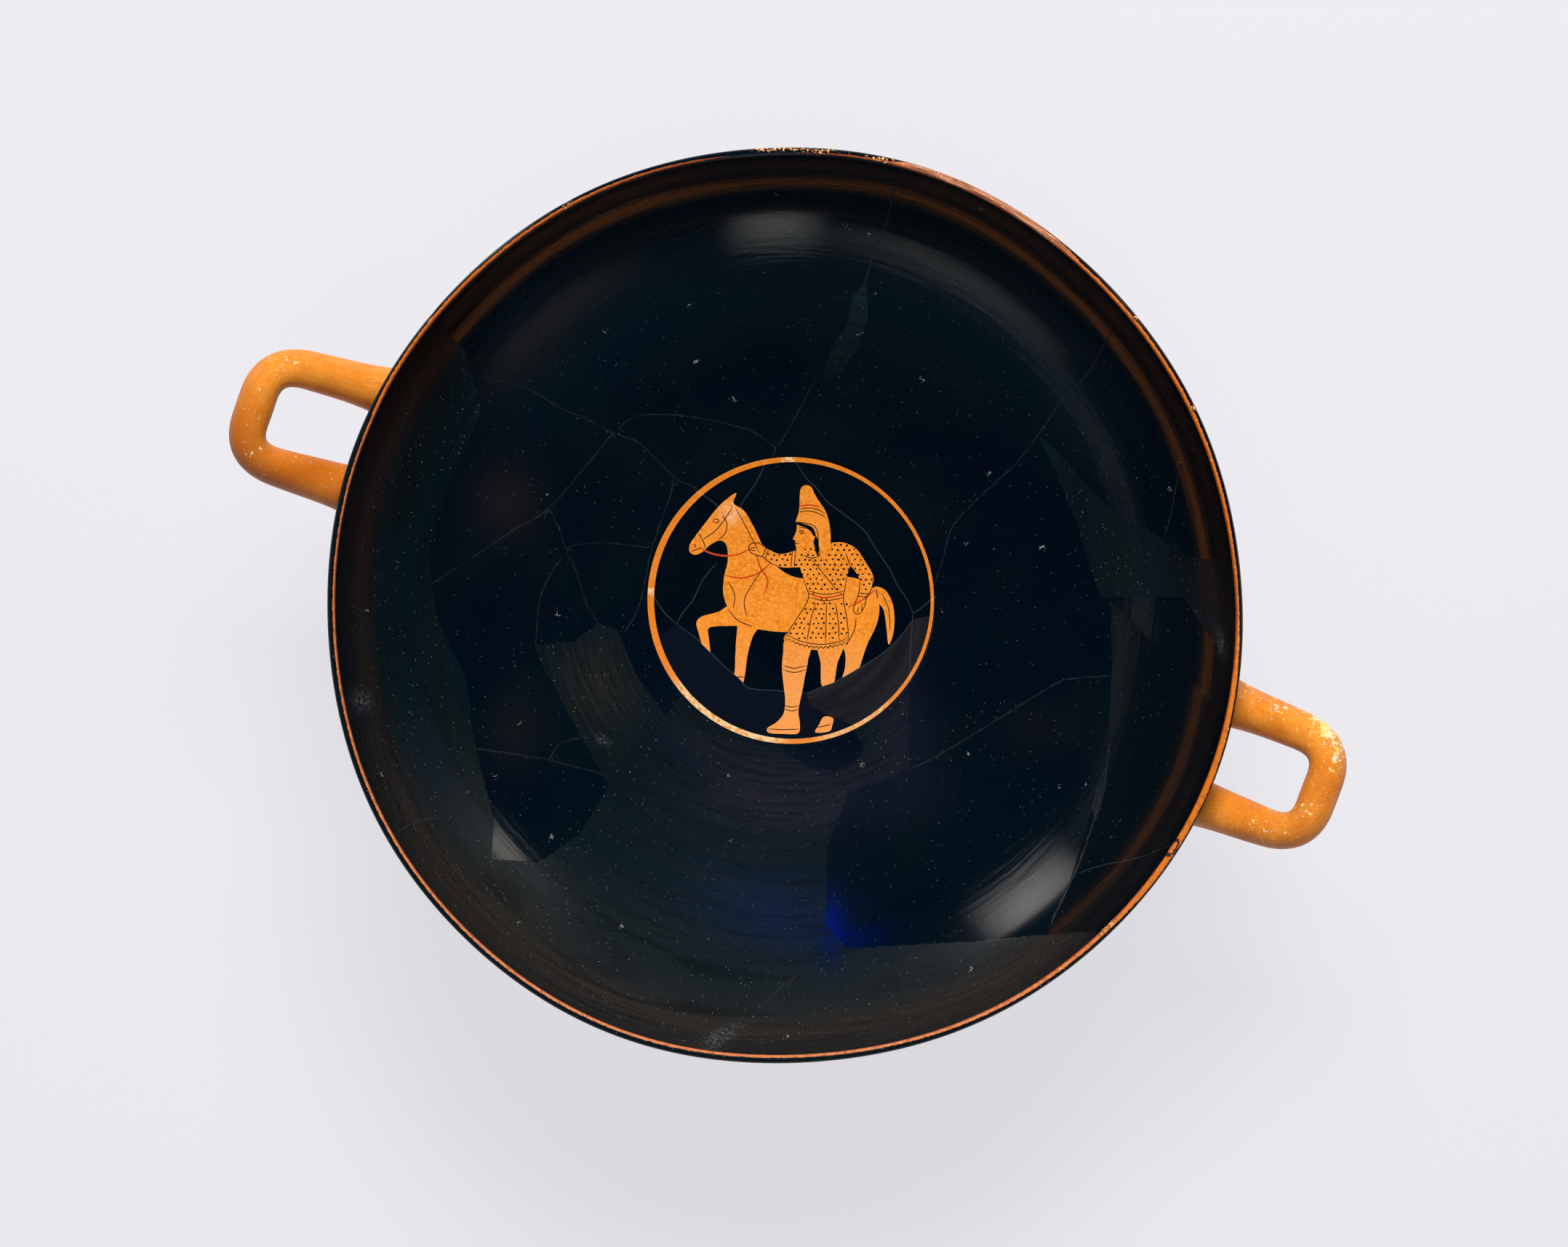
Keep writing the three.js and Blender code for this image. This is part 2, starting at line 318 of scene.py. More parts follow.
def lines_near(places, lines, steps=4):
    """Of many open lines, the distance to the nearest one, and the same distance with its side as
    the sign, so that a line can be drawn sharply between the points of a mesh."""
    reach, signed = np.full(len(places), 1e6), np.full(len(places), 1e6)
    for line in lines:
        gap, side = nearest(places, curve_through(line, steps))
        closer = gap < reach
        reach[closer], signed[closer] = gap[closer], (gap * side)[closer]
    return reach, signed


def round_the_rim(angle, table):
    """Values round the rim between the ones given at some angles, in degrees from the picture's
    right, by straight steps."""
    at, *rows = zip(*table)
    at = np.array(at + (at[0] + 360,), float)
    turn = np.mod(np.degrees(angle) - np.degrees(PICTURE_TURN) - at[0], 360) + at[0]
    return [np.interp(turn, at, np.array(row + (row[0],), float)) for row in rows]


def spot(places, u, v, length, width, turn=0.0):
    """A soft spot: a bell curve of the distance from (u, v), longer one way than across."""
    c, s = np.cos(np.radians(turn)), np.sin(np.radians(turn))
    x, y = places[:, 0] - u, places[:, 1] - v
    return np.exp(-((x * c + y * s) / length) ** 2 - ((y * c - x * s) / width) ** 2)


# Chips in the lip: where, how long and how wide, and the direction in degrees.
CHIPS = [(-5, 164.4, 8, 1.5, 2), (12, 163.8, 12, 1.2, -4), (36, 160.6, 5, 1.4, -12),
         (127, 104, 2.0, 2.0, 0), (147, 72, 1.8, 2.0, 0), (139.5, -85, 4.0, 3.0, 58), (117, -114, 5, 2, 45),
         (-77, 145, 1.2, 2.4, 0), (-126, 106, 2, 1.6, 50)]

plan = np.column_stack([points @ picture_right, points @ picture_up])
flat_radius = np.hypot(points[:, 0], points[:, 1])
angle = np.arctan2(points[:, 1], points[:, 0])
lost = np.minimum.reduce([np.maximum(depth_in(plan, LOST_SIDE), -depth_in(plan, KEPT_SHERD)),
                          depth_in(plan, LOST_EDGE), depth_in(plan, LOST_LEAF), depth_in(plan, LOST_SLIP)])
dull = depth_in(plan, DULL_SHERD)
join_reach, join = lines_near(plan, JOINS)
hair_reach, hair = lines_near(plan, HAIRLINES)

# How far each point of a wall is down from the crest of the lip: plus on the inside.
OFF_THE_WALL = 99.0              # stands for a point on the floor, or with a minus on the stem and foot
quarter = np.pi / 4 * LIP_THICKNESS
down = np.concatenate([[0], np.hypot(*np.diff(side[1:], axis=0).T)[::-1].cumsum()])[::-1] + quarter
drop = -np.concatenate([[0], np.hypot(*np.diff(outside, axis=0).T).cumsum()]) - quarter
over_lip = (half_turn - np.pi / 2) * LIP_THICKNESS / 2
starts = np.cumsum([0] + [len(p) * c for p, c in parts])
crest = np.full(len(points), OFF_THE_WALL)
for part, values in ((2, down), (3, over_lip), (4, drop[:3]), (5, drop[3:])):
    crest[starts[part]:starts[part + 1]] = np.repeat(values, parts[part][1])
crest[starts[6]:] = -OFF_THE_WALL

# The reserved line on the lip: degrees, where it begins and ends, in millimetres inwards from the
# crest, how pale it is, how much of the outer edge is rubbed bare, and how much is made good.
LIP_LINE = [(0, -0.1, 1.1, 0.2, 0.5, 0), (12, -0.1, 1.4, 0, 0.8, 0), (30, -0.2, 1.5, 0, 1, 0),
            (49, -0.1, 1.4, 0.2, 1, 0), (54, -1.6, 1.7, 0.5, 1, 1), (64, -2.6, 1.6, 1, 1, 1),
            (73, -2.2, 1.2, 1, 1, 1), (76, -0.2, 0.7, 0.3, 0.4, 0), (82, 0.1, 0.6, 0, 0, 0),
            (88, 0.6, 0.6, 0, 0, 0), (96, 0.6, 0.6, 0, 0, 0), (101, 0.0, 0.7, 0, 0.3, 0),
            (112, -0.2, 0.8, 0, 0.2, 0), (128, -0.2, 0.9, 0, 0.2, 0), (142, -0.4, 0.9, 0, 0.3, 0),
            (150, -0.2, 1.2, 0, 0.2, 0), (157, 0.7, 2.2, 0.4, 0.4, 0), (176, 0.7, 2.0, 0.5, 0.5, 0),
            (196, 0.7, 2.5, 0.5, 0.5, 0), (214, 0.6, 2.3, 0.8, 0.5, 0), (232, 0.5, 2.2, 1, 0.6, 0),
            (250, 0.7, 2.7, 0.9, 0.6, 0), (268, 0.8, 3.0, 0.9, 0.7, 0), (284, 0.6, 2.5, 0.9, 0.7, 0),
            (300, 0.1, 2.0, 0.8, 0.7, 0), (314, -0.1, 1.9, 0.4, 0.8, 0), (324, -0.7, 2.2, 0.1, 0.5, 0),
            (338, -0.9, 2.4, 0, 0, 0), (350, -0.6, 1.8, 0.1, 0.2, 0)]
line_start, line_end, line_pale, edge_bare, made_good = round_the_rim(angle, LIP_LINE)

inner = crest > 0
# Painted reflection: a saturated blue patch low in the bowl, laid into the colour of the gloss and of the
# fills.
blue_painted_reflection = inner * (spot(plan, 15.5, -123, 4.5, 10) + 0.3 * spot(plan, 26, -124, 12, 4, 6)
                + 0.7 * spot(plan, -5, -115, 23, 12, -14))
# Painted sheen: the fills low on the wall towards the picture's bottom are paler grey, and warmer still at
# the rim.
south_painted_sheen = inner * np.clip((-plan[:, 1] - 30) / 70, 0, 1) * np.clip((flat_radius - 116) / 30, 0, 1)
# Painted sheen: warmer, paler patches on the fills at the lower left.
warm_painted_sheen = inner * np.clip(0.85 * spot(plan, -72, -31, 15, 18, 30)
                       + 0.9 * spot(plan, -102, -112, 24, 9, -45), 0, 1)
# Painted sheen: a violet-blue cast below the picture, on the fills and on the gloss.
violet_painted_sheen = inner * np.clip(spot(plan, 6, -72, 40, 14) + 0.5 * spot(plan, -24, -58, 34, 10, -30)
                         + 0.9 * spot(plan, 42, -46, 12, 22), 0, 1)
# Painted sheen: the upper part of the inside wall, towards the picture's top, is paler and bluer in its
# colour, standing in for light on the gloss and on the fills.
north_painted_sheen = inner * np.clip((plan[:, 1] - 40) / 70, 0, 1) * np.clip((flat_radius - 90) / 40, 0, 1)
north_painted_sheen *= np.clip((plan[:, 0] + 125) / 25, 0, 1)
pit = np.exp(-(crest / 3.5) ** 2) * spot(plan, 138.8, -84.6, 4.6, 3.2, 58)
chip = (np.abs(crest) < 6) * np.clip(sum(spot(plan, *c) for c in CHIPS), 0, 1)
points[:, 2] -= chip * (np.abs(crest) < 2.5) * (0.35 + 0.35 * np.sin(angle * 190) * np.sin(angle * 83 + 1))
# Painted reflections: soft brownish clouds in the gloss.
brown_painted_reflection = inner * (spot(plan, -105, 38, 13, 15) + 0.6 * spot(plan, -92, 96, 34, 10, 45)
                 + 0.5 * spot(plan, -102, -48, 10, 14) + 0.35 * spot(plan, 92, -46, 14, 10))
smudge = inner * (spot(plan, -154, -34, 2.4, 3.6, 20) + spot(plan, 158, -13, 1.6, 4.5, 8)
                  + spot(plan, -24, -157, 7, 2.2, 20) + 0.7 * spot(plan, -70, -52, 3, 1.2, -30))
marks = dict(lost=lost, dull=dull, join=join, join_reach=join_reach, hair=hair, hair_reach=hair_reach,
             crest=crest, line_start=line_start, line_end=line_end, line_pale=line_pale,
             edge_bare=edge_bare, made_good=made_good, chip=chip, blue_painted_reflection=blue_painted_reflection, warm_painted_sheen=warm_painted_sheen, south_painted_sheen=south_painted_sheen,
             north_painted_sheen=north_painted_sheen, violet_painted_sheen=violet_painted_sheen, brown_painted_reflection=brown_painted_reflection, smudge=smudge, pit=pit)
cup = mesh_piece("cup", points, faces, marks)


def node(tree, kind, inputs=None, **settings):
    """One shader node: its settings, then its inputs by name or number, each a value or an output."""
    made = tree.nodes.new("ShaderNode" + kind)
    for name, value in settings.items():
        setattr(made, name, value)
    for name, value in (inputs or {}).items():
        if isinstance(value, bpy.types.NodeSocket):
            tree.links.new(value, made.inputs[name])
        else:
            made.inputs[name].default_value = value
    return made


def tree_of(*values):
    """The node tree of the first output among some values."""
    return next(value.id_data for value in values if isinstance(value, bpy.types.NodeSocket))


def sum_of(operation, a, b=0.0, c=0.0, clamp=False):
    """A sum on numbers and outputs, of which at least one is an output."""
    return node(tree_of(a, b, c), "Math", {0: a, 1: b, 2: c}, operation=operation,
                use_clamp=clamp).outputs[0]


def times(a, b):
    """a x b."""
    return sum_of("MULTIPLY", a, b)


def plus(a, b, clamp=False):
    """a + b, kept between 0 and 1 where clamp says so."""
    return sum_of("ADD", a, b, clamp=clamp)


def minus(a, b):
    """a - b."""
    return sum_of("SUBTRACT", a, b)


def most(a, b):
    """The larger of two."""
    return sum_of("MAXIMUM", a, b)


def scaled(a, factor, shift):
    """a x factor + shift."""
    return sum_of("MULTIPLY_ADD", a, factor, shift)


def heaped(value, shares):
    """A value with a share of each of several others added to it."""
    for other, share in shares:
        value = scaled(other, share, value)
    return value


def step(value, low, high):
    """0 below low and 1 above high, smooth between them; low may be the larger."""
    return node(tree_of(value), "MapRange", {"Value": value, "From Min": low, "From Max": high},
                interpolation_type="SMOOTHSTEP").outputs[0]


def close_to(value, middle, reach, full):
    """1 where the value is within full of the middle and 0 beyond reach, smooth between them."""
    return step(sum_of("ABSOLUTE", minus(value, middle)), reach, full)


def colour(r, g, b):
    """A colour given as it looks on a screen, 0 to 255, as the linear one that shaders take."""
    c = np.array([r, g, b]) / 255
    return (*np.where(c <= 0.04045, c / 12.92, ((c + 0.055) / 1.055) ** 2.4).tolist(), 1.0)


def blend(amount, a, b):
    """Colour a where amount is 0 and b where it is 1. Three numbers are a colour as it looks on a
    screen, four a linear one."""
    a, b = (colour(*c) if isinstance(c, tuple) and len(c) == 3 else c for c in (a, b))
    return node(tree_of(amount), "Mix", {0: amount, 6: a, 7: b}, data_type="RGBA").outputs[2]


def coats(tone, layers):
    """Colours laid over a tone one after another. Each is where it lies, which is an output or the
    name of a mesh attribute, how strongly it covers there, and its colour."""
    for where, strength, over in layers:
        where = mark(tree_of(tone), where) if isinstance(where, str) else where
        tone = blend(times(where, strength), tone, over)
    return tone


def mark(tree, name):
    """The value that a mesh attribute has at the point."""
    return node(tree, "Attribute", attribute_name=name).outputs["Fac"]


def grain(place, size, detail=2.0, rough=0.5):
    """Noise whose features are about size millimetres, from 0 to 1."""
    return node(tree_of(place), "TexNoise", {"Vector": place, "Scale": 1.0 / size, "Detail": detail,
                                             "Roughness": rough}).outputs["Fac"]


def patches(place, size, low, high, detail=2.0, rough=0.5):
    """Patches about size millimetres across: the noise passed through a step from low to high."""
    return step(grain(place, size, detail, rough), low, high)


def millimetres(tree):
    """The place on the piece in millimetres, its three parts, and its distance from the axis."""
    place = node(tree, "VectorMath", {0: node(tree, "TexCoord").outputs["Object"], "Scale": 1 / MM},
                 operation="SCALE").outputs[0]
    x, y, z = node(tree, "SeparateXYZ", {0: place}).outputs
    radius = sum_of("SQRT", plus(times(x, x), times(y, y)))
    return place, x, y, z, radius


def streaks(x, y, z, radius, reach):
    """A place for noise that changes quickly from ring to ring and slowly round the cup: the
    direction from the axis times reach, and the radius less the height."""
    u, v = (times(sum_of("DIVIDE", part, radius), reach) for part in (x, y))
    return node(tree_of(x), "CombineXYZ", {0: u, 1: v, 2: minus(radius, z)}).outputs[0]


# Colours as they look on a screen: the gloss, the paints of the fills with their painted sheen, and the
# clay.
GLAZE = (1, 10, 20)
GLAZE_GREEN = (4, 14, 20)
FILL_PAINT = (8, 19, 22)
FILL_TEAL = (4, 18, 27)
FILL_VIOLET_SHEEN = (24, 25, 36)
FILL_GREY_SHEEN = (23, 29, 32)
FILL_WARM_SHEEN = (32, 32, 29)
FILL_DARK = (4, 11, 16)
JOIN_GREY = (34, 38, 42)
CLAY = (204, 108, 17)
CLAY_PINK = (196, 120, 80)
CREAM = (232, 184, 128)


def specks(place, spacing, size, share):
    """Scattered dots: the nearest random point in cells spacing wide, drawn size across, and only
    in that share of the cells."""
    tree = tree_of(place)
    cells = node(tree, "TexVoronoi", {"Vector": place, "Scale": 1.0 / spacing})
    chance = node(tree, "SeparateColor", {0: cells.outputs["Color"]}).outputs[0]
    some = sum_of("LESS_THAN", chance, share)
    dot = step(cells.outputs["Distance"], size / spacing, size / spacing * 0.6)
    return times(dot, some)


def drawn_line(name, width, wander, place):
    """A line along the places where a mesh attribute passes nought, width across, pushed to and fro
    by noise, and only near the real line."""
    tree = tree_of(place)
    shift = scaled(grain(place, 3.0, 3.0), wander, -wander / 2)
    across = sum_of("ABSOLUTE", plus(mark(tree, name), shift))
    wide = scaled(grain(place, 6.0), width, width * 0.2)
    drawn = step(sum_of("DIVIDE", across, wide), 1.0, 0.45)
    return times(drawn, step(mark(tree, name + "_reach"), 2.6, 1.6))


def new_material(name):
    """A material with nodes, and its node tree."""
    made = bpy.data.materials.new(name)
    made.use_nodes = True
    return made, made.node_tree


def surface(tree, tone, skin, height, ior=None):
    """Gives a material's own shader its colour, its roughness and its relief in millimetres."""
    shader = tree.nodes["Principled BSDF"]
    bump = node(tree, "Bump", {"Height": height, "Distance": MM, "Strength": 0.6})
    tree.links.new(tone, shader.inputs["Base Color"])
    tree.links.new(skin, shader.inputs["Roughness"])
    tree.links.new(bump.outputs[0], shader.inputs["Normal"])
    if ior:
        shader.inputs["IOR"].default_value = ior


black_gloss, tree = new_material("black_gloss")
place, x, y, z, radius = millimetres(tree)
fine_streak = grain(streaks(x, y, z, radius, 3.0), 0.8, 4.0, 0.6)
broad_streak = grain(streaks(x, y, z, radius, 2.0), 3.0, 3.0, 0.6)
ragged = scaled(grain(place, 2.5, 3.0), 1.2, -0.6)
filled = step(plus(mark(tree, "lost"), ragged), 0.25, -0.25)
dulled = step(plus(mark(tree, "dull"), ragged), 0.4, -0.4)
join_line = drawn_line("join", 0.52, 1.0, place)
hair_line = drawn_line("hair", 0.18, 0.6, place)

# The gloss, with painted reflections and painted sheen in its colour, and the paint of the fills over it,
# with painted sheen too.
tone = blend(patches(place, 40.0, 0.35, 0.7, 3.0), GLAZE, GLAZE_GREEN)
tone = coats(tone, [("north_painted_sheen", 0.8, (13, 30, 40)), ("violet_painted_sheen", 0.5, (22, 26, 42)), (dulled, 1.0, (4, 12, 18)),
                    ("brown_painted_reflection", 0.8, (25, 22, 24)), ("blue_painted_reflection", 0.9, (0, 12, 80))])
rim_painted_sheen = times(mark(tree, "south_painted_sheen"), step(radius, 144.0, 158.0))
fill_tone = blend(step(broad_streak, 0.4, 0.62), FILL_PAINT, FILL_TEAL)
fill_tone = coats(fill_tone, [("violet_painted_sheen", 1.0, FILL_VIOLET_SHEEN), ("south_painted_sheen", 1.0, FILL_GREY_SHEEN),
                              (rim_painted_sheen, 0.5, (41, 37, 33)), ("warm_painted_sheen", 1.0, FILL_WARM_SHEEN),
                              ("north_painted_sheen", 0.7, (26, 50, 60)), ("blue_painted_reflection", 0.85, (0, 17, 56)),
                              (step(fine_streak, 0.42, 0.68), 0.6, FILL_DARK)])

# Joins, hairlines, smudges, dust and lint, and specks where the gloss has come off.
patchy_join = times(join_line, patches(place, 5.0, 0.25, 0.8, 4.0, 0.7))
dust = most(specks(place, 1.1, 0.12, 0.16), specks(place, 5.0, 0.22, 0.06))
more = most(specks(place, 1.2, 0.16, 0.16), specks(place, 7.0, 0.26, 0.13))
dust = most(dust, times(more, filled))
thin = close_to(grain(place, 3.0), 0.5, 0.018, 0.006)
lint = times(thin, specks(place, 9.0, 1.5, 0.13))
smear = times(mark(tree, "smudge"), patches(place, 1.4, 0.35, 0.75, 3.0))
tone = coats(tone, [(filled, 1.0, fill_tone), (patchy_join, 1.0, JOIN_GREY), (hair_line, 0.5, (66, 70, 72)),
                    (smear, 0.5, (104, 108, 108)), (most(dust, lint), 0.7, (176, 178, 172)),
                    (specks(place, 7.0, 0.22, 0.12), 1.0, (170, 96, 50))])

# Bare clay: the line on the lip, its rubbed outer edge, chips, the foot's edge and resting ring.
wobble = scaled(grain(place, 1.3, 4.0, 0.7), 1.1, -0.55)
inwards = plus(mark(tree, "crest"), wobble)
past_start, past_end = (minus(inwards, mark(tree, name)) for name in ("line_start", "line_end"))
line = times(step(past_start, -0.08, 0.08), step(past_end, 0.08, -0.08))
outer_edge = times(step(inwards, -1.7, -2.0), step(inwards, -3.1, -2.8))
outer_edge = times(outer_edge, times(mark(tree, "edge_bare"), 0.7))
chip = mark(tree, "chip")
flaked = scaled(chip, 0.18, grain(place, 0.9, 4.0, 0.75))
flaked = times(step(flaked, 0.68, 0.72), step(chip, 0.15, 0.4))
flaked = times(flaked, times(step(scaled(chip, -2.2, inwards), 1.3, 1.0),
                             step(inwards, -3.2, -2.9)))
scar = times(close_to(grain(place, 1.8, 3.0), 0.5, 0.05, 0.02), step(chip, 0.3, 0.6))
layered = grain(streaks(x, y, z, radius, 6.0), 0.5, 3.0, 0.7)
repair = blend(step(layered, 0.42, 0.62), (92, 50, 36), (206, 148, 112))
fresh_clay = blend(patches(place, 0.8, 0.35, 0.65), (214, 120, 44), (248, 208, 140))
clay = blend(mark(tree, "line_pale"), CLAY, CLAY_PINK)
clay = coats(clay, [("made_good", 0.9, repair),
                    (patches(place, 2.0, 0.45, 0.75, 4.0, 0.65), 1.0, (146, 80, 46)),
                    (specks(place, 1.6, 0.3, 0.2), 1.0, CREAM),
                    (step(past_end, -1.0, -0.4), 0.8, (120, 42, 22)),
                    (scar, 0.8, (66, 36, 24)), (flaked, 1.0, fresh_clay)])
on_foot = times(step(mark(tree, "crest"), 2 - OFF_THE_WALL, 1 - OFF_THE_WALL),
                step(z, FOOT_EDGE - 0.2, FOOT_EDGE - 0.6))
hollow = times(step(radius, 50.0, 49.0), step(z, 2.0, 2.5))
foot_reserve = times(on_foot, minus(1.0, hollow))
bare = most(most(line, foot_reserve), most(outer_edge, flaked))
broken = plus(mark(tree, "pit"), scaled(grain(place, 0.9, 3.0), 0.5, -0.25))
tone = coats(tone, [(bare, 1.0, clay), (step(broken, 0.34, 0.40), 1.0, (50, 32, 26)),
                    (step(broken, 0.52, 0.58), 1.0, (198, 106, 44))])

skin = scaled(fine_streak, 0.14, 0.05)
skin = heaped(skin, [(filled, 0.22), (dulled, 0.03), (bare, 0.42)])
skin = plus(skin, times(most(join_line, smear), 0.3), clamp=True)
# The sherd on the right was glued in a little out of line, so it turns its light elsewhere.
out_of_line = sum_of("MINIMUM", mark(tree, "dull"), 0.0)
height = heaped(times(fine_streak, 0.15), [(broad_streak, 0.14), (join_line, -0.05), (filled, 0.03),
                                           (out_of_line, 0.13)])
surface(tree, tone, skin, height, ior=1.42)
cup.data.materials.append(black_gloss)
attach(cup, "root")
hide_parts("kylix")


# ---------------------------------------------------------------------------------------
# THE PICTURE. A round of the bowl's own floor, painted before firing: a ring, a walking
# horse and a figure in a tall cap are left the orange of the clay, black gloss is laid
# round them, and the lines are drawn with a fine brush. One side of it is lost and filled.
# ---------------------------------------------------------------------------------------

RING_OUTER, RING_INNER, RING_SHIFT = 53.9, 52.05, 0.6
PICTURE_THICKNESS, RINGS_BELOW = 0.2, 10
DOT_GAP, DOT_ROW = 2.1, 1.85     # between the dots of a row, and between rows
LINE, RED_LINE, JOIN_LINE = 0.34, 0.65, 0.42   # widths of the drawn lines and of the joins
GLOSS, BARE, RED, LOST, LOST_NAVY = range(5)   # what a place of the picture is covered with

HORSE = [(-21.4, 36.6), (-20.4, 40.4), (-24.0, 38.2), (-27.6, 34.8), (-31.8, 29.6), (-35.6, 24.6),
         (-38.0, 21.0), (-38.0, 18.4), (-36.0, 17.2), (-33.4, 18.2), (-30.2, 21.0), (-26.6, 22.6),
         (-24.2, 20.6), (-23.8, 15.0), (-25.2, 8.6), (-25.4, 2.0), (-22.6, -5.0), (-17.0, -9.6),
         (-8.0, -11.6), (3.0, -12.4), (13.0, -14.4), (19.6, -18.0), (20.4, -25.0), (18.4, -33.0),
         (23.0, -33.4), (25.6, -26.0), (28.6, -17.0), (32.4, -8.6), (33.2, -1.0), (30.2, 5.4), (23.0, 8.6),
         (12.0, 8.6), (3.0, 8.4), (-4.0, 11.6), (-9.6, 18.6), (-13.6, 27.0), (-17.4, 33.6)]
FORELEGS = [[(-22, -2), (-27.6, -4.4), (-33.4, -6.0), (-35.6, -8.4), (-34.6, -13.0), (-33.6, -17.6),
             (-35.6, -20.6), (-33.0, -22.2), (-30.6, -20.0), (-30.8, -15.6), (-31.2, -10.8), (-28.4, -9.8),
             (-22.4, -9.6), (-17, -9)],
            [(-19, -7), (-20.6, -14), (-21.0, -21), (-21.4, -28), (-23.4, -31.4), (-18.6, -31.6),
             (-17.4, -28), (-16.4, -20.6), (-14.4, -13.6), (-12, -9)]]
TAIL = [(31.4, 5.0), (35.8, 3.6), (38.6, -2.6), (38.8, -11.0), (36.8, -16.6), (36.0, -10.2), (34.8, -3.4),
        (31.8, 0.4)]
CAP = [(5.6, 43.4), (3.8, 41.8), (3.4, 38.0), (3.2, 34.0), (2.2, 30.6), (2.0, 29.4), (5.0, 29.0),
       (8.6, 28.0), (10.0, 25.0), (10.2, 20.6), (11.0, 16.4), (14.2, 17.6), (15.0, 22.6), (14.6, 28.4),
       (13.2, 33.4), (10.8, 37.2), (9.0, 40.2), (7.8, 42.6)]
FACE = [(2.8, 29.4), (2.3, 27.6), (2.1, 26.0), (1.3, 24.2), (0.8, 23.0), (1.9, 22.5), (1.5, 21.7),
        (1.9, 21.3), (1.6, 20.7), (2.1, 20.1), (1.9, 19.3), (2.9, 18.5), (5.0, 18.8), (7.6, 18.0),
        (9.8, 18.0), (10.6, 22), (9.6, 27), (6, 29.8)]
HAIR = [[(2.4, 29.4), (5.0, 28.8), (8.2, 27.4), (9.4, 24.6), (8.6, 24.2), (7.2, 26.2), (4.8, 27.6),
         (2.6, 28.4)],
        [(9.4, 24.4), (8.6, 22.0), (9.2, 19.0), (10.2, 16.6), (10.6, 19.6), (10.2, 22.6)]]
TORSO = [(9.6, 18.4), (6.0, 18.0), (4.0, 15.6), (3.6, 12.0), (5.0, 7.6), (6.4, 3.6), (6.8, 0.4),
         (12.6, -0.8), (19.4, 0.0), (20.4, 4.6), (21.4, 10.0), (22.4, 13.0), (23.6, 15.6), (24.0, 19.0),
         (20.4, 21.6), (15.0, 21.4), (12.0, 18.4)]
SKIRT = [(6.6, 0.8), (3.4, -5.0), (-0.4, -11.0), (-2.6, -15.0), (4.0, -17.8), (11.6, -18.8), (18.8, -17.4),
         (22.0, -15.4), (21.2, -8.0), (19.8, 0.4)]
FORWARD_ARM = [(10, 19.6), (3.0, 19.0), (-4.0, 17.4), (-9.5, 19.4), (-10.9, 16.6), (-4.2, 12.6),
               (3.0, 12.4), (9, 12)]
FORWARD_HAND = [(-9.4, 19.6), (-12.4, 21.6), (-15.4, 21.0), (-15.6, 18.6), (-13.2, 17.0), (-10.6, 16.4)]
BACK_ARM = [(19.6, 21.2), (24.4, 19.6), (28.0, 14.6), (31.0, 9.2), (30.6, 5.0), (28.4, 0.6), (25.2, 1.2),
            (26.0, 5.8), (25.4, 9.0), (22.6, 12.8), (19, 15)]
BACK_HAND = [(28.4, 1.0), (27.6, -2.6), (25.4, -5.2), (23.6, -4.0), (24.2, -1.0), (25.2, 1.6)]
NEAR_LEG = [(-1.8, -14.8), (-3.0, -20.0), (-3.4, -26.0), (-2.8, -32.0), (-2.2, -37.6), (-2.8, -42.6),
            (-5.6, -46.0), (-8.8, -48.0), (-8.2, -49.8), (-2.4, -50.2), (2.6, -50.0), (3.4, -46.6),
            (2.8, -41.6), (4.0, -35.4), (5.2, -29.0), (6.4, -22.6), (7.0, -16.6)]
FAR_LEG = [(10.4, -16.6), (11.2, -24.0), (11.6, -32.0), (15.8, -32.0), (17.4, -24.0), (19.4, -16.6)]
FAR_FOOT = [(9.2, -49.6), (10.6, -46.8), (12.4, -43.8), (15.8, -44.2), (15.6, -47.0), (14.4, -49.2)]

HORSE_LINES = [[(-20.6, 34.4), (-18.6, 31.0), (-15.6, 25.2), (-11.8, 17.8)],
               [(-27.0, 23.0), (-24.6, 25.4), (-24.0, 29.0), (-25.6, 32.0)],
               [(-29.4, 29.8), (-28.2, 30.8), (-27.0, 30.0), (-28.0, 29.2), (-29.4, 29.8)],
               [(-36.6, 21.2), (-35.8, 20.6), (-36.4, 19.9)], [(-37.6, 18.6), (-35.4, 19.2), (-33.8, 20.0)],
               [(-34.8, 25.4), (-33.2, 22.8), (-32.0, 19.8)],
               [(-33.2, 22.8), (-28.0, 26.6), (-23.8, 32.0), (-21.8, 35.6)],
               [(-10.4, 12.0), (-14.6, 6.0), (-17.6, 0.0), (-16.6, -6.6)],
               [(-23.6, 7.0), (-21.2, 2.0), (-21.8, -3.0)], [(-23.6, -3.4), (-20.0, -7.6), (-14.8, -9.8)],
               [(20.8, -17.0), (23.8, -11.4), (24.6, -6.6)], [(-35.2, -19.4), (-31.0, -18.8)],
               [(-22.2, -29.0), (-17.6, -28.8)], [(32.2, 4.4), (32.6, 0.8)],
               [(34.4, 2.6), (36.9, -3.6), (37.4, -11.6)]]
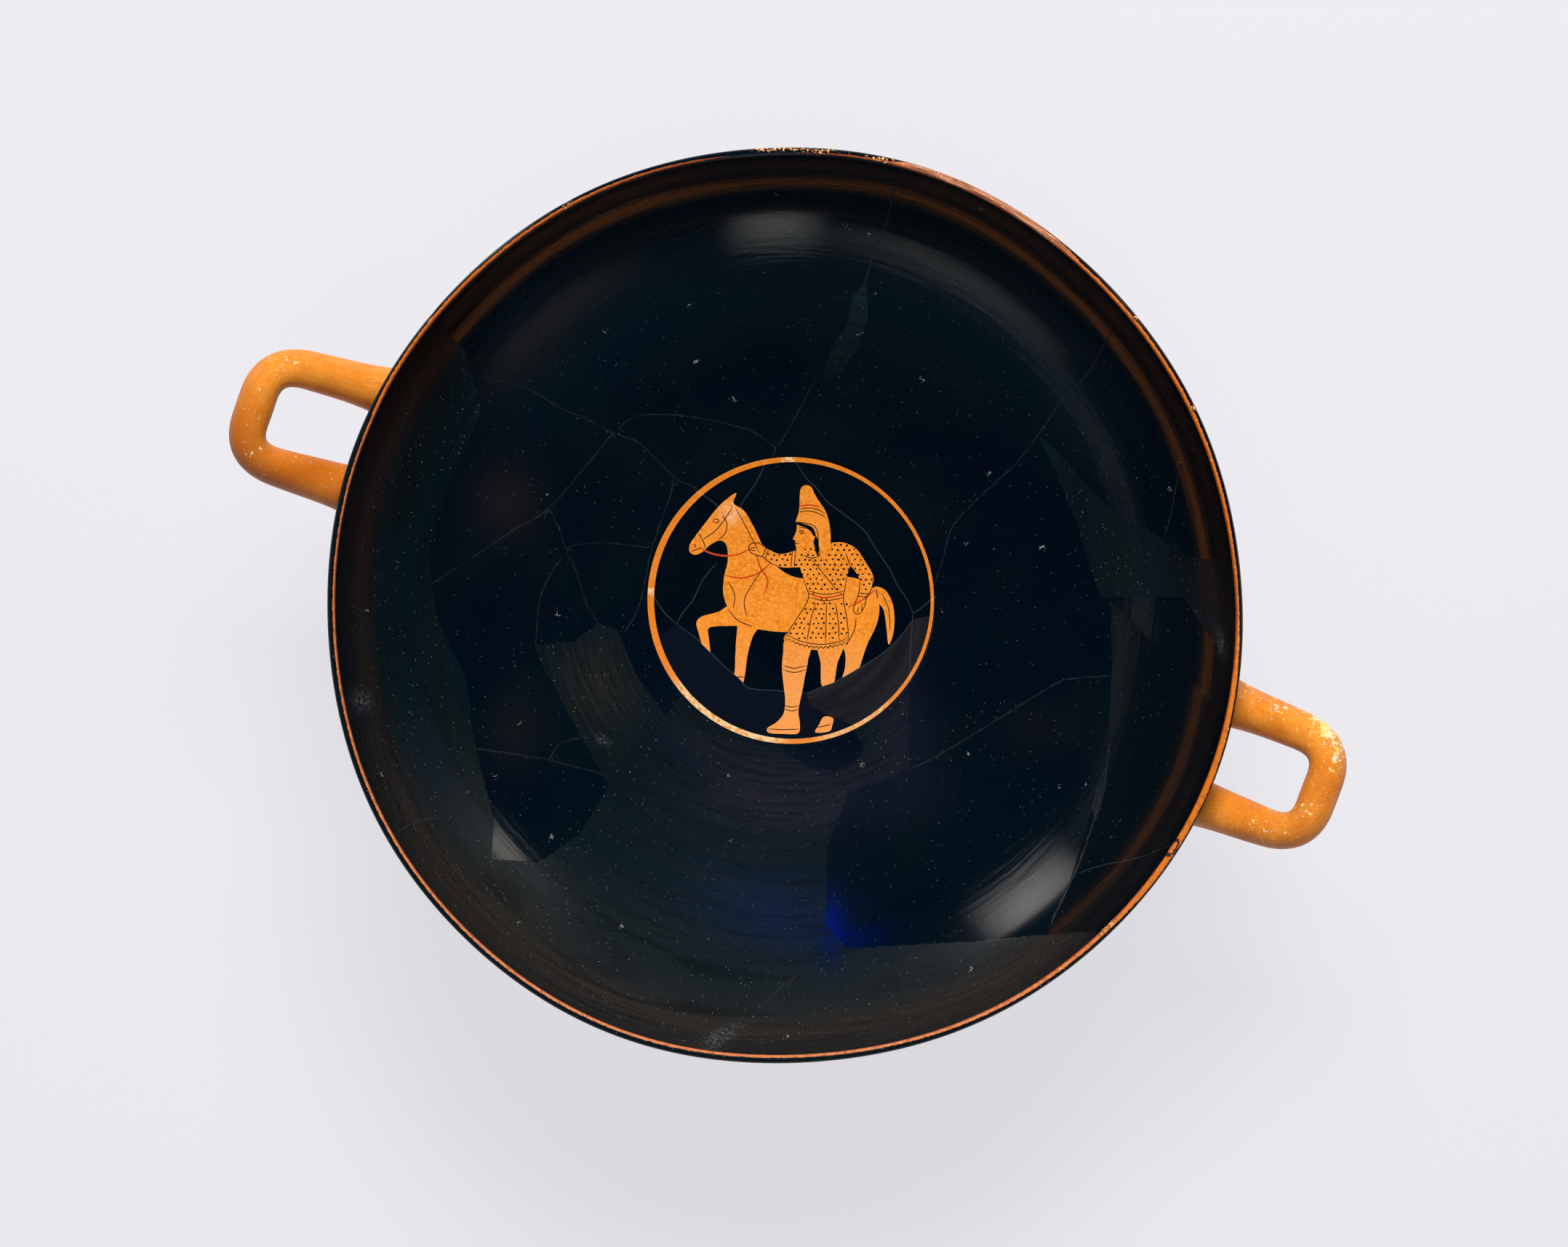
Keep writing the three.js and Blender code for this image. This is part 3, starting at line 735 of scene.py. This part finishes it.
DRESS_LINES = [[(-9.4, 19.6), (-12.4, 21.6), (-15.4, 21.0), (-15.6, 18.6), (-13.2, 17.0), (-10.8, 16.4),
                (-7.4, 13.9), (-4.2, 12.5)],
               [(-9.3, 19.5), (-10.8, 16.5)], [(-8.4, 19.0), (-9.8, 15.8)], [(-15.2, 20.1), (-13.2, 19.7)],
               [(-15.5, 19.1), (-13.5, 18.7)], [(0.6, 19.0), (0.0, 12.4)], [(1.8, 19.1), (1.2, 12.4)],
               [(4.6, 8.8), (5.6, 5.4), (6.6, 0.8), (3.4, -5.0), (-0.4, -11.0), (-2.4, -14.8)],
               [(21.2, 9.0), (20.4, 4.6), (19.8, 0.4), (21.2, -8.0), (21.8, -15.2)],
               [(6.6, 1.2), (12.8, -0.2), (19.8, 1.0)], [(6.2, 3.6), (13.0, 2.2), (20.2, 3.4)],
               [(-1.6, -13.2), (4.4, -15.6), (11.6, -16.6), (18.6, -15.4), (21.6, -13.6)],
               [(9.4, -1.0), (7.4, -7.6), (6.0, -15.4)], [(13.4, -1.0), (13.2, -8.8), (13.0, -16.2)],
               [(16.8, -0.8), (17.8, -8.0), (18.2, -15.2)],
               [(30.9, 8.8), (30.6, 5.0), (28.4, 0.6), (27.6, -2.6), (25.4, -5.2), (23.6, -4.0),
                (24.2, -1.0), (25.2, 1.4), (26.0, 5.8), (25.5, 8.8)],
               [(25.2, 1.6), (28.8, 1.1)], [(25.5, 2.8), (29.5, 2.3)], [(25.0, -4.6), (25.6, -2.4)],
               [(26.6, -3.8), (26.8, -1.8)], [(22.4, 13.2), (20.8, 17.4)],
               [(4.8, 17.0), (7.6, 15.9), (10.4, 16.4)], [(7.6, 15.6), (12.6, 9.6), (17.6, 3.4)],
               [(3.2, 33.2), (7.0, 33.6), (10.8, 32.6), (13.4, 31.0)],
               [(3.3, 34.3), (7.0, 34.8), (10.8, 33.9), (13.0, 32.5)],
               [(2.0, 29.5), (5.2, 29.1), (8.8, 28.0), (10.2, 25.0), (10.4, 20.6), (11.2, 16.6)],
               [(2.8, 27.1), (4.2, 27.5), (5.6, 26.9)], [(2.9, 25.8), (3.9, 26.3), (5.1, 25.8)],
               [(3.2, 25.4), (4.0, 25.1), (5.0, 25.5)], [(4.0, 26.1), (4.0, 25.3)],
               [(1.8, 21.3), (3.0, 21.3)], [(-2.4, -39.6), (0.4, -40.2), (2.8, -39.6)],
               [(-2.5, -41.0), (0.4, -41.6), (2.8, -41.0)], [(-8.4, -48.3), (-3.0, -48.6), (3.0, -48.4)],
               [(10.0, -47.8), (15.2, -46.6)], [(-2.9, -24.6), (1.2, -25.6), (5.8, -24.6)],
               [(-3.1, -26.2), (1.2, -27.2), (5.5, -26.2)]]
HEM = [(-1.6, -14.6), (4.4, -16.9), (11.6, -17.8), (18.6, -16.6), (21.4, -15.0)]
RED_LINES = [[(-34.4, 19.6), (-28.0, 17.2), (-21.0, 17.0), (-15.0, 19.6)],
             [(-13.0, 17.4), (-11.4, 12.0), (-8.8, 7.6), (-10.0, 2.6)],
             [(-24.8, 9.4), (-18.6, 8.4), (-12.4, 10.2), (-7.6, 14.0)],
             [(6.5, 2.4), (13.0, 1.0), (20.0, 2.2)], [(21.6, -2.6), (26.6, 0.0), (31.8, 4.0)],
             [(3.3, 35.4), (7.0, 35.9), (10.6, 35.2)]]
LOST_RIGHT = [(6, -35), (10, -33), (16, -31), (23, -27), (33, -21), (40, -15), (46, -7), (60, -4),
              (60, -60), (28, -60), (24, -47), (17, -45), (12, -42), (7, -40)]
LOST_LOW = [(-43, -9), (-36, -14), (-30, -20), (-25, -25), (-20, -29), (-16, -33), (-6, -34), (6, -35),
            (7, -40), (12, -42), (24, -47), (28, -60), (-60, -60), (-60, -20)]
PICTURE_JOINS = [[(-43, 46), (-35, 41), (-29, 37), (-25, 33), (-21, 31)],
                 [(-9, 53), (-12, 46), (-18, 37), (-21, 31)],
                 [(2, 52), (6, 46), (10, 42), (14, 37), (22, 31), (28, 26), (31, 21), (37, 12), (40, 6),
                  (44, 0), (46, -5)],
                 [(46, -5), (50, -2), (55, 2)], [(46, -5), (45, -20), (45, -32)],
                 [(-28, 14), (-33, 8), (-37, 0), (-41, -5), (-43, -9)], [(-53, 4), (-48, -4), (-43, -9)],
                 [(-43, -9), (-36, -14), (-30, -20), (-25, -25), (-20, -29), (-16, -33), (-6, -34),
                  (6, -35)],
                 [(46, -7), (40, -15), (33, -21), (23, -27), (16, -31), (6, -35)]]


def stroke(path, width):
    """The outline of a brush line: its path moved half the width to either side, and thinner
    towards both ends."""
    path = evenly(curve_through(path, 8), 0.22)
    ahead = np.gradient(path, axis=0)
    aside = np.column_stack([-ahead[:, 1], ahead[:, 0]]) / np.linalg.norm(ahead, axis=1)[:, None]
    t = np.linspace(0, 1, len(path))
    half = width / 2 * (0.55 + 0.45 * np.clip(6 * np.minimum(t, 1 - t), 0, 1))
    return np.vstack([path + aside * half[:, None], (path - aside * half[:, None])[::-1]])


def shape(points):
    """A filled shape with a smooth closed edge."""
    edge = curve_through(points, 12, closed=True)
    return evenly(np.vstack([edge, edge[:1]]), 0.3)[:-1]


def winds_round(places, outline):
    """True where a closed outline winds round a place: upward crossings to its right, less the
    downward ones, are not nought."""
    hit = np.zeros(len(places), bool)
    low, high = outline.min(0), outline.max(0)
    near = np.nonzero(np.all((places >= low) & (places <= high), axis=1))[0]
    if len(near):
        p, a, b = places[near][:, None], outline[None], np.roll(outline, -1, 0)[None]
        along, aside = b - a, p - a
        left = along[..., 0] * aside[..., 1] - aside[..., 0] * along[..., 1]
        up = (a[..., 1] <= p[..., 1]) & (b[..., 1] > p[..., 1]) & (left > 0)
        down = (a[..., 1] > p[..., 1]) & (b[..., 1] <= p[..., 1]) & (left < 0)
        hit[near] = up.sum(1) != down.sum(1)
    return hit


def straight_sided(points, spacing=0.8):
    """A closed outline with straight sides."""
    return evenly(np.array(points + points[:1], float), spacing)[:-1]


def circle(u, v, radius, count):
    """Points round a circle about (u, v)."""
    t = np.linspace(0, 2 * np.pi, count, endpoint=False)
    return np.column_stack([u + radius * np.cos(t), v + radius * np.sin(t)])


# Dots all over the tunic, on a slanting grid that the brush does not keep to exactly.
chance = np.random.default_rng(5)
grid_u, grid_v = np.meshgrid(np.arange(-20, 40, DOT_GAP), np.arange(-18, 24, DOT_ROW))
grid_u += (np.arange(len(grid_u)) % 2)[:, None] * DOT_GAP / 2
dots = np.column_stack([grid_u.ravel(), grid_v.ravel()])
dots += chance.uniform(-0.25, 0.25, dots.shape)
tunic = [shape(p) for p in (TORSO, FORWARD_ARM, BACK_ARM, SKIRT)]
kept_free = [stroke(p, 1.1) for p in DRESS_LINES] + [stroke(HEM, 2.6)]
kept_free += [shape(p) for p in (BACK_HAND, FORWARD_HAND, CAP)]
dots = dots[np.any([winds_round(dots, s) for s in tunic], axis=0)
            & ~np.any([winds_round(dots, s) for s in kept_free], axis=0)]

# A wave runs along the hem of the tunic, between two lines.
hem = evenly(curve_through(HEM, 8), 0.9)
hem[:, 1] += np.where(np.arange(len(hem)) % 2, 0.42, -0.42)

layers = [(BARE, circle(0, 0, RING_OUTER, AROUND)), (GLOSS, circle(RING_SHIFT, 0, RING_INNER, AROUND))]
layers += [(BARE, shape(p)) for p in (HORSE, *FORELEGS, TAIL, NEAR_LEG, FAR_LEG, FAR_FOOT, TORSO, SKIRT,
                                      FORWARD_ARM, FORWARD_HAND, BACK_ARM, BACK_HAND, FACE, CAP)]
layers += [(GLOSS, shape(p)) for p in HAIR]
layers += [(GLOSS, circle(u, v, chance.uniform(0.36, 0.46), 9)) for u, v in dots]
layers += [(RED, stroke(p, RED_LINE)) for p in RED_LINES]
layers += [(GLOSS, stroke(p, LINE)) for p in (*HORSE_LINES, *DRESS_LINES, hem)]
layers += [(BARE, stroke([(-44.5, -18.6), (-42, -20.6), (-39.6, -22.2)], 1.1))]
lost_layers = [(LOST, straight_sided(LOST_RIGHT)), (LOST_NAVY, straight_sided(LOST_LOW))]
joins = [stroke(p, JOIN_LINE) for p in PICTURE_JOINS]

# One flat partition of all the outlines, so that every edge of the painting is an edge of the mesh.
edge_angle = np.arange(AROUND) * 2 * np.pi / AROUND - PICTURE_TURN
rim = np.column_stack([np.cos(edge_angle), np.sin(edge_angle)]) * PICTURE_RADIUS
outlines = [rim] + [o for _, o in layers + lost_layers] + joins
outlines = [o if k == 0 else o[np.hypot(*o.T) < PICTURE_RADIUS - 0.3] for k, o in enumerate(outlines)]
outlines = [o for o in outlines if len(o) > 2]
loose = np.column_stack([k.ravel() for k in np.meshgrid(np.arange(-54, 55, 3.0), np.arange(-54, 55, 3.0))])
loose = loose[np.hypot(*loose.T) < 52.5]
first = np.cumsum([0] + [len(o) for o in outlines])
edges = np.vstack([np.column_stack([np.arange(len(o)), (np.arange(len(o)) + 1) % len(o)]) + f
                   for o, f in zip(outlines, first)])
flat, _, triangles, *_ = delaunay_2d_cdt(np.vstack(outlines + [loose]).tolist(), edges.tolist(), [], 0,
                                         1e-4, False)
flat, triangles = np.array([tuple(p) for p in flat]), np.array(triangles)
centres = flat[triangles].mean(1)

cover = np.zeros(len(triangles), int)
for paint, outline in layers:
    cover[winds_round(centres, outline)] = paint
spared = winds_round(centres, layers[0][1]) & ~winds_round(centres, layers[1][1])
spared |= np.any([winds_round(centres, shape(p)) for p in (NEAR_LEG, FAR_FOOT)], axis=0)
for paint, outline in lost_layers:
    cover[winds_round(centres, outline) & ~spared] = paint
join_faces = np.any([winds_round(centres, j) for j in joins], axis=0)


def on_floor(flat_places, lower=0.0):
    """Places of the flat picture laid on the curve of the bowl's floor, turned to the cup's axes."""
    out = flat_places[:, :1] * picture_right + flat_places[:, 1:] * picture_up
    height = LIP_HEIGHT - INNER_DEPTH * np.sqrt(1 - (out**2).sum(1) / INNER_RADIUS**2) - lower
    return out + height[:, None] * np.array([0, 0, 1.0])


top = on_floor(flat)
rings = np.linspace(1, 0.1, RINGS_BELOW)[:, None, None] * (rim * (1 - 0.3 / PICTURE_RADIUS))[None]
below = on_floor(rings.reshape(-1, 2), PICTURE_THICKNESS)
outer = np.nonzero(np.hypot(*flat.T) > PICTURE_RADIUS - 0.01)[0]
outer_turn = np.arctan2(flat[outer, 1], flat[outer, 0]) + PICTURE_TURN
outer = outer[np.argsort(np.mod(outer_turn + 1e-4, 2 * np.pi))]
n, j, k = len(top), np.arange(AROUND), (np.arange(AROUND) + 1) % AROUND
faces = triangles.tolist()
faces += np.stack([outer[k], outer[j], n + j, n + k], -1).tolist()
faces += band_faces(n, RINGS_BELOW, AROUND)[:, ::-1].tolist()
faces += fan_faces(n + (RINGS_BELOW - 1) * AROUND, AROUND, n + RINGS_BELOW * AROUND, False)
others = np.zeros(len(faces) - len(triangles))
picture_points = np.vstack([top, below, on_floor(np.zeros((1, 2)), PICTURE_THICKNESS)])
face_marks = dict(bare=cover == BARE, red=cover == RED, lost=cover == LOST, lost_navy=cover == LOST_NAVY,
                  join=join_faces)
face_marks = {label: np.concatenate([values, others]) for label, values in face_marks.items()}
normals = np.zeros((len(picture_points), 3))
normals[:n] = -(top - [0, 0, LIP_HEIGHT]) / np.array([INNER_RADIUS, INNER_RADIUS, INNER_DEPTH])**2
normals[:n] /= np.linalg.norm(normals[:n], axis=1)[:, None]
picture = mesh_piece("tondo_picture", picture_points, faces, face_marks, "FACE", normals)

painted, tree = new_material("painted_floor")
place, x, y, z, radius = millimetres(tree)

# The clay of the figures and the ring: cloudy, paler low down, and rubbed in places.
ring = step(radius, 51.0, 51.2)
direction = sum_of("ARCTAN2", y, x)
worn = close_to(direction, -1.73, 0.52, 0.36)
for middle, reach, much in ((-0.75, 0.34, 0.6), (1.93, 0.055, 1.0), (-2.86, 0.03, 1.0)):
    worn = most(worn, times(close_to(direction, middle, reach, reach * 0.6), much))
worn = times(times(ring, worn), patches(place, 1.5, 0.3, 0.6, 3.0))
low_on_picture = node(tree, "VectorMath", {0: place, 1: tuple(picture_up)},
                      operation="DOT_PRODUCT").outputs["Value"]
worn_head = tuple((picture_right * -22.5 + picture_up * 33 + np.array([0, 0, 50])).tolist())
gap = node(tree, "VectorMath", {0: place, 1: worn_head}, operation="DISTANCE").outputs["Value"]
rubbed = times(step(gap, 6.0, 2.0), patches(place, 1.6, 0.4, 0.6, 4.0, 0.7))
clay = blend(patches(place, 1.1, 0.35, 0.7, 4.0, 0.65), (204, 110, 12), (238, 150, 48))
clay = coats(clay, [(patches(place, 9.0, 0.4, 0.7), 0.7, (228, 136, 46)),
                    (step(low_on_picture, -8.0, -32.0), 0.6, (222, 146, 86)),
                    (ring, 0.6, (204, 108, 16)), (worn, 1.0, (216, 190, 140)),
                    (specks(place, 1.5, 0.14, 0.4), 0.6, (246, 190, 110)),
                    (rubbed, 0.8, (232, 172, 122))])

lost_streak = grain(streaks(x, y, z, radius, 2.0), 3.0, 3.0)
lost_tone = blend(step(lost_streak, 0.35, 0.7), (20, 20, 26), (34, 33, 34))
join_tone = blend(mark(tree, "bare"), (44, 50, 58), (216, 150, 110))
dust = most(specks(place, 2.4, 0.13, 0.12), specks(place, 7.0, 0.26, 0.2))
tone = blend(patches(place, 30.0, 0.35, 0.7, 3.0), (1, 8, 17), (4, 12, 20))
tone = coats(tone, [("lost_navy", 1.0, (9, 15, 26)), ("lost", 1.0, lost_tone), ("bare", 1.0, clay),
                    ("red", 1.0, (190, 66, 22)), ("join", 0.75, join_tone),
                    (dust, 0.65, (160, 160, 156))])
skin = scaled(mark(tree, "bare"), 0.35, 0.16)
skin = plus(skin, times(mark(tree, "lost"), 0.25), clamp=True)
height = times(times(grain(place, 0.8, 3.0), 0.04), mark(tree, "bare"))
surface(tree, tone, skin, height, ior=1.5)
picture.data.materials.append(painted)
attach(picture, "root")


# ---------------------------------------------------------------------------------------
# THE HANDLES. Two rolls of the same clay, bent into a long loop with square corners and
# pressed on to the wall under the rim. They are left plain, the orange of the fired clay.
# ---------------------------------------------------------------------------------------

BAR_REACH, BAR_RADIUS, BAR_HEIGHT = 204.1, 6.5, 121.5
ROOT_REACH, ROOT_HEIGHT, CLIMB_POWER = 132.0, 90.0, 1.35
FLARE_FROM, FLARE_LENGTH, FLARE_MOST = 162.0, 16.0, 4.4
ROLL_STEP, ROLL_COLUMNS, ROLL_ROWS = 0.6, 40, 220
ROOT_SPREAD, BAR_SPREAD, CORNER = 20.2, 18.0, 13.5
HANDLES = [("handle_right", 1, 2.6, 3.0), ("handle_left", -1, 6.4, 3.8)]  # name, end, root shift, bar shift
# Where the surface has flaked: place, length, width, direction in degrees, and how much.
FLAKY = [(196.5, -41, 6, 8, 20, 1.25), (189, -34, 8, 4, -35, 0.8), (168, -27, 3, 6, 0, 0.7),
         (180, -30, 4, 3, 0, 0.7), (178, -37, 6, 3, -20, 0.55), (186, -73, 8, 3, 50, 0.45),
         (178, -72, 5, 3, 0, 0.4), (170, -79, 10, 4, -15, 0.35), (199, -54, 3, 6, 0, 0.6),
         (193, -60, 8, 12, 0, 0.1), (-181, 89, 9, 5, 10, 0.3), (-188, 70, 3, 12, 0, 0.2),
         (-192, 56, 3, 5, 0, 0.3)]


def loop_path(root_shift, bar_shift):
    """The middle of the roll in plan: straight from a root, a quadratic curve round each corner,
    and straight back; then its height, which climbs as a power of the distance from the root."""
    def corner(a, b, c):
        """A quadratic curve from a to c that heads for b at both ends."""
        t = np.linspace(0, 1, 24)[:, None]
        return (1 - t) ** 2 * a + 2 * t * (1 - t) * b + t**2 * c

    root_a, root_b = (np.array([ROOT_REACH, root_shift + to * ROOT_SPREAD]) for to in (-1, 1))
    bar_a, bar_b = (np.array([BAR_REACH, bar_shift + to * BAR_SPREAD]) for to in (-1, 1))
    into = (bar_a - root_a) / np.linalg.norm(bar_a - root_a) * CORNER
    out = (root_b - bar_b) / np.linalg.norm(root_b - bar_b) * CORNER
    turn = np.array([0, CORNER])
    plan_line = np.vstack([root_a, corner(bar_a - into, bar_a, bar_a + turn),
                           corner(bar_b - turn, bar_b, bar_b + out), root_b])
    plan_line = evenly(plan_line, ROLL_STEP)
    climb = np.clip((plan_line[:, 0] - ROOT_REACH) / (BAR_REACH - ROOT_REACH), 0, 1) ** CLIMB_POWER
    return np.column_stack([plan_line, ROOT_HEIGHT + (BAR_HEIGHT - ROOT_HEIGHT) * climb])


def roll(path, columns):
    """A round section carried along the path: its radius grows towards the wall as an exponential,
    with a slow waviness of a few tenths of a millimetre as the hand leaves it."""
    ahead = np.gradient(path, axis=0)
    ahead /= np.linalg.norm(ahead, axis=1)[:, None]
    level = np.cross(ahead, [0, 0, 1.0])
    level /= np.linalg.norm(level, axis=1)[:, None]
    over = np.cross(level, ahead)
    radius = BAR_RADIUS + np.minimum(3 * np.exp((FLARE_FROM - path[:, 0]) / FLARE_LENGTH), FLARE_MOST)
    round_it = np.linspace(0, 2 * np.pi, columns, endpoint=False)
    s = np.arange(len(path))[:, None] * ROLL_STEP
    uneven = 0.16 * np.sin(s / 9 + 2 * np.cos(round_it)) + 0.12 * np.cos(s / 5.3 + 3 * np.sin(round_it + 1))
    r = (radius[:, None] + uneven)[..., None]
    return (path[:, None, :] + r * np.cos(round_it)[None, :, None] * level[:, None, :]
            + r * np.sin(round_it)[None, :, None] * over[:, None, :])


def cut_in_wall(grid, rows):
    """The same roll between the two places where it enters the wall: along every line of it the
    crossings of the middle of the wall are found, and new rows are spaced between them."""
    middle = ((np.hypot(grid[..., 0], grid[..., 1]) / (RIM_RADIUS - LIP_THICKNESS / 2)) ** 2
              + ((grid[..., 2] - LIP_HEIGHT) / ((INNER_DEPTH + OUTER_DEPTH) / 2)) ** 2 - 1)
    n = len(grid)
    half = n // 2
    i = np.arange(n)
    out = np.empty((rows, grid.shape[1], 3))
    for j in range(grid.shape[1]):
        first = np.interp(0, middle[:half, j], i[:half])
        last = np.interp(0, middle[half:, j][::-1], i[half:][::-1])
        at = first + (last - first) * np.linspace(0, 1, rows)
        for k in range(3):
            out[:, j, k] = np.interp(at, i, grid[:, j, k])
    return out


def on_middle(places):
    """Places moved straight out from, or in to, the centre of the bowl's ellipses until they lie on
    the middle of the wall."""
    half = np.array([RIM_RADIUS - LIP_THICKNESS / 2] * 2 + [(INNER_DEPTH + OUTER_DEPTH) / 2])
    centre = np.array([0, 0, LIP_HEIGHT])
    out = places - centre
    return centre + out / np.linalg.norm(out / half, axis=-1)[..., None]


fired_clay, tree = new_material("fired_clay")
place, x, y, z, radius = millimetres(tree)
rolled_out = node(tree, "CombineXYZ", {0: times(mark(tree, "along"), 0.11), 1: mark(tree, "round_x"),
                                       2: mark(tree, "round_y")}).outputs[0]
streaked = grain(rolled_out, 0.9, 3.0, 0.6)
flakes = step(scaled(mark(tree, "flaky"), 0.19, grain(place, 1.9, 6.0, 0.76)), 0.635, 0.655)
small = step(scaled(mark(tree, "flaky"), 0.10, grain(place, 0.7, 3.0, 0.7)), 0.68, 0.71)
flakes = most(flakes, small)
flake_tone = blend(patches(place, 4.0, 0.4, 0.6), (250, 206, 118), (240, 214, 178))
tone = blend(patches(place, 16.0, 0.35, 0.7, 3.0), (222, 137, 42), (206, 116, 29))
# Painted shade: the roots, where they go under the rim, are darker and browner.
tone = coats(tone, [(step(streaked, 0.42, 0.72), 0.4, (180, 92, 34)),
                    (patches(place, 1.4, 0.5, 0.8, 4.0, 0.6), 0.5, (238, 156, 70)),
                    ("darker_left_bars", 1.0, (164, 82, 14)), (step(radius, 172.0, 160.0), 0.55, (170, 92, 58)),
                    (flakes, 0.85, flake_tone), (specks(place, 3.0, 0.28, 0.08), 1.0, (96, 56, 34))])
skin = scaled(grain(place, 3.0, 2.0), 0.2, 0.42)
height = heaped(times(streaked, 0.05), [(flakes, -0.1)])
surface(tree, tone, skin, height)

for name, end, root_shift, bar_shift in HANDLES:
    grid = cut_in_wall(roll(loop_path(root_shift, bar_shift), ROLL_COLUMNS), ROLL_ROWS)
    if end < 0:
        grid = grid * np.array([-1, 1, 1])
        grid = grid[::-1]
    # Each end is closed inside the wall by smaller and smaller rings laid on its middle.
    inwards = np.array([0.7, 0.4, 0.12])[:, None, None]
    caps = [on_middle(row.mean(0) + inwards * (row - row.mean(0))[None]) for row in (grid[0], grid[-1])]
    grid = np.concatenate([caps[0][::-1], grid, caps[1]])
    rows, columns = grid.shape[:2]
    faces = band_faces(0, rows, columns).tolist()
    faces += fan_faces(0, columns, rows * columns, False)
    faces += fan_faces((rows - 1) * columns, columns, rows * columns + 1, True)
    ends = np.array([grid[0].mean(0), grid[-1].mean(0)])
    handle_points = np.vstack([grid.reshape(-1, 3), ends])
    along = np.concatenate([[0], np.cumsum(np.linalg.norm(np.diff(grid.mean(1), axis=0), axis=1))])
    turn = np.arange(columns) * 2 * np.pi / columns
    rolled = dict(along=np.repeat(along, columns), round_x=np.tile(6 * np.cos(turn), rows),
                  round_y=np.tile(6 * np.sin(turn), rows))
    at_ends = dict(along=[along[0], along[-1]], round_x=[0, 0], round_y=[0, 0])
    marks = {label: np.concatenate([rolled[label], at_ends[label]]) for label in rolled}
    seen = np.column_stack([handle_points @ picture_right, handle_points @ picture_up])
    # Darker, browner patches on the outer and lower bars of the left handle.
    darker_left_bars = np.clip(spot(seen, -196, 62, 11, 20) + spot(seen, -174, 49, 24, 9, 20), 0, 1)
    flaky = np.clip(sum(much * spot(seen, *place) for *place, much in FLAKY), 0, 1.2)
    marks |= dict(darker_left_bars=0.8 * darker_left_bars, flaky=flaky)
    handle = mesh_piece(name, handle_points, faces, marks)
    handle.data.materials.append(fired_clay)
    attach(handle, "root")


# ---------------------------------------------------------------------------------------
# THE TABLE AND THE LIGHT. A plain pale surface that glows a little, as a light table does,
# and soft boxes low round the cup, each of which shows as one patch in the gloss.
# ---------------------------------------------------------------------------------------

FLOOR_REACH = 12.0
floor_mesh = bpy.data.meshes.new("floor")
square = [(-1, -1), (1, -1), (1, 1), (-1, 1)]
floor_mesh.from_pydata([(u * FLOOR_REACH, v * FLOOR_REACH, 0) for u, v in square], [], [(0, 1, 2, 3)])
floor = in_scene("floor", floor_mesh)
pale, tree = new_material("pale_table")
paper = tree.nodes["Principled BSDF"]
paper.inputs["Base Color"].default_value = colour(98, 97, 99)
paper.inputs["Roughness"].default_value = 0.9
paper.inputs["Specular IOR Level"].default_value = 0.0
paper.inputs["Emission Color"].default_value = colour(236, 235, 240)
paper.inputs["Emission Strength"].default_value = 0.81
floor_mesh.materials.append(pale)

AIM = Vector((0, 0, 0.09))       # the place that every light looks at


def soft_box(name, azimuth, elevation, distance, width, tall, power, tint=(1, 1, 1), shows=True):
    """An area light that looks at the cup from an azimuth in the picture, degrees from its right."""
    light = bpy.data.lights.new(name, "AREA")
    light.shape, light.size, light.size_y = "RECTANGLE", width, tall
    light.energy, light.color = power, tint
    if shows:
        # The cloth of the box is brightest in its middle: 16 u (1 - u) v (1 - v) over its two sides.
        light.use_nodes = True
        cloth = light.node_tree
        u, v, _ = node(cloth, "SeparateXYZ", {0: node(cloth, "NewGeometry").outputs["Parametric"]}).outputs
        hump_u, hump_v = (times(at, minus(1.0, at)) for at in (u, v))
        middle = times(times(hump_u, hump_v), 16.0)
        cloth.links.new(middle, cloth.nodes["Emission"].inputs["Strength"])
    a, e = np.radians(azimuth) + PICTURE_TURN, np.radians(elevation)
    towards = Vector((np.cos(a) * np.cos(e), np.sin(a) * np.cos(e), np.sin(e)))
    box = in_scene(name, light)
    box.location = AIM + towards * distance
    box.rotation_euler = towards.to_track_quat("Z", "Y").to_euler()
    box.visible_glossy = shows


soft_box("key", 84, 50, 2.6, 1.3, 1.0, 104, shows=False)
soft_box("fill", -80, 68, 2.6, 1.6, 1.6, 13, shows=False)
soft_box("box_upper_left", 133, 15, 2.0, 0.64, 1.16, 11.6, tint=(1, 0.94, 0.88))
soft_box("box_upper_right", 41, 22, 2.0, 0.48, 0.50, 3.0, tint=(1, 0.93, 0.83))
soft_box("box_below", -91, 16, 2.0, 0.48, 0.92, 2.1, tint=(1, 1, 0.93))
soft_box("below_left", -118, 20, 2.4, 1.9, 0.66, 2.5, tint=(1, 0.95, 0.88))
soft_box("below_right", -56, 20, 2.4, 1.4, 0.80, 0.80, tint=(1, 0.78, 0.62))
soft_box("left", 168, 26, 2.4, 2.1, 0.42, 1.1, tint=(1, 0.97, 0.93))
soft_box("lower_left", 206, 26, 2.4, 2.1, 0.46, 0.76, tint=(1, 0.97, 0.93))
soft_box("blue_sky", 97, 30, 2.4, 0.9, 0.5, 0.2, tint=(0.25, 0.4, 1.0))

world = bpy.data.worlds.new("dim_room")
world.use_nodes = True
bpy.context.scene.world = world
tree = world.node_tree
background = tree.nodes["Background"].inputs
toward_sky = node(tree, "SeparateXYZ", {0: node(tree, "TexCoord").outputs["Generated"]}).outputs[2]
room = blend(step(toward_sky, 0.10, 0.03), (0.006, 0.0065, 0.008, 1), (0.5, 0.5, 0.52, 1))
background["Strength"].default_value = 1.0
tree.links.new(room, background["Color"])
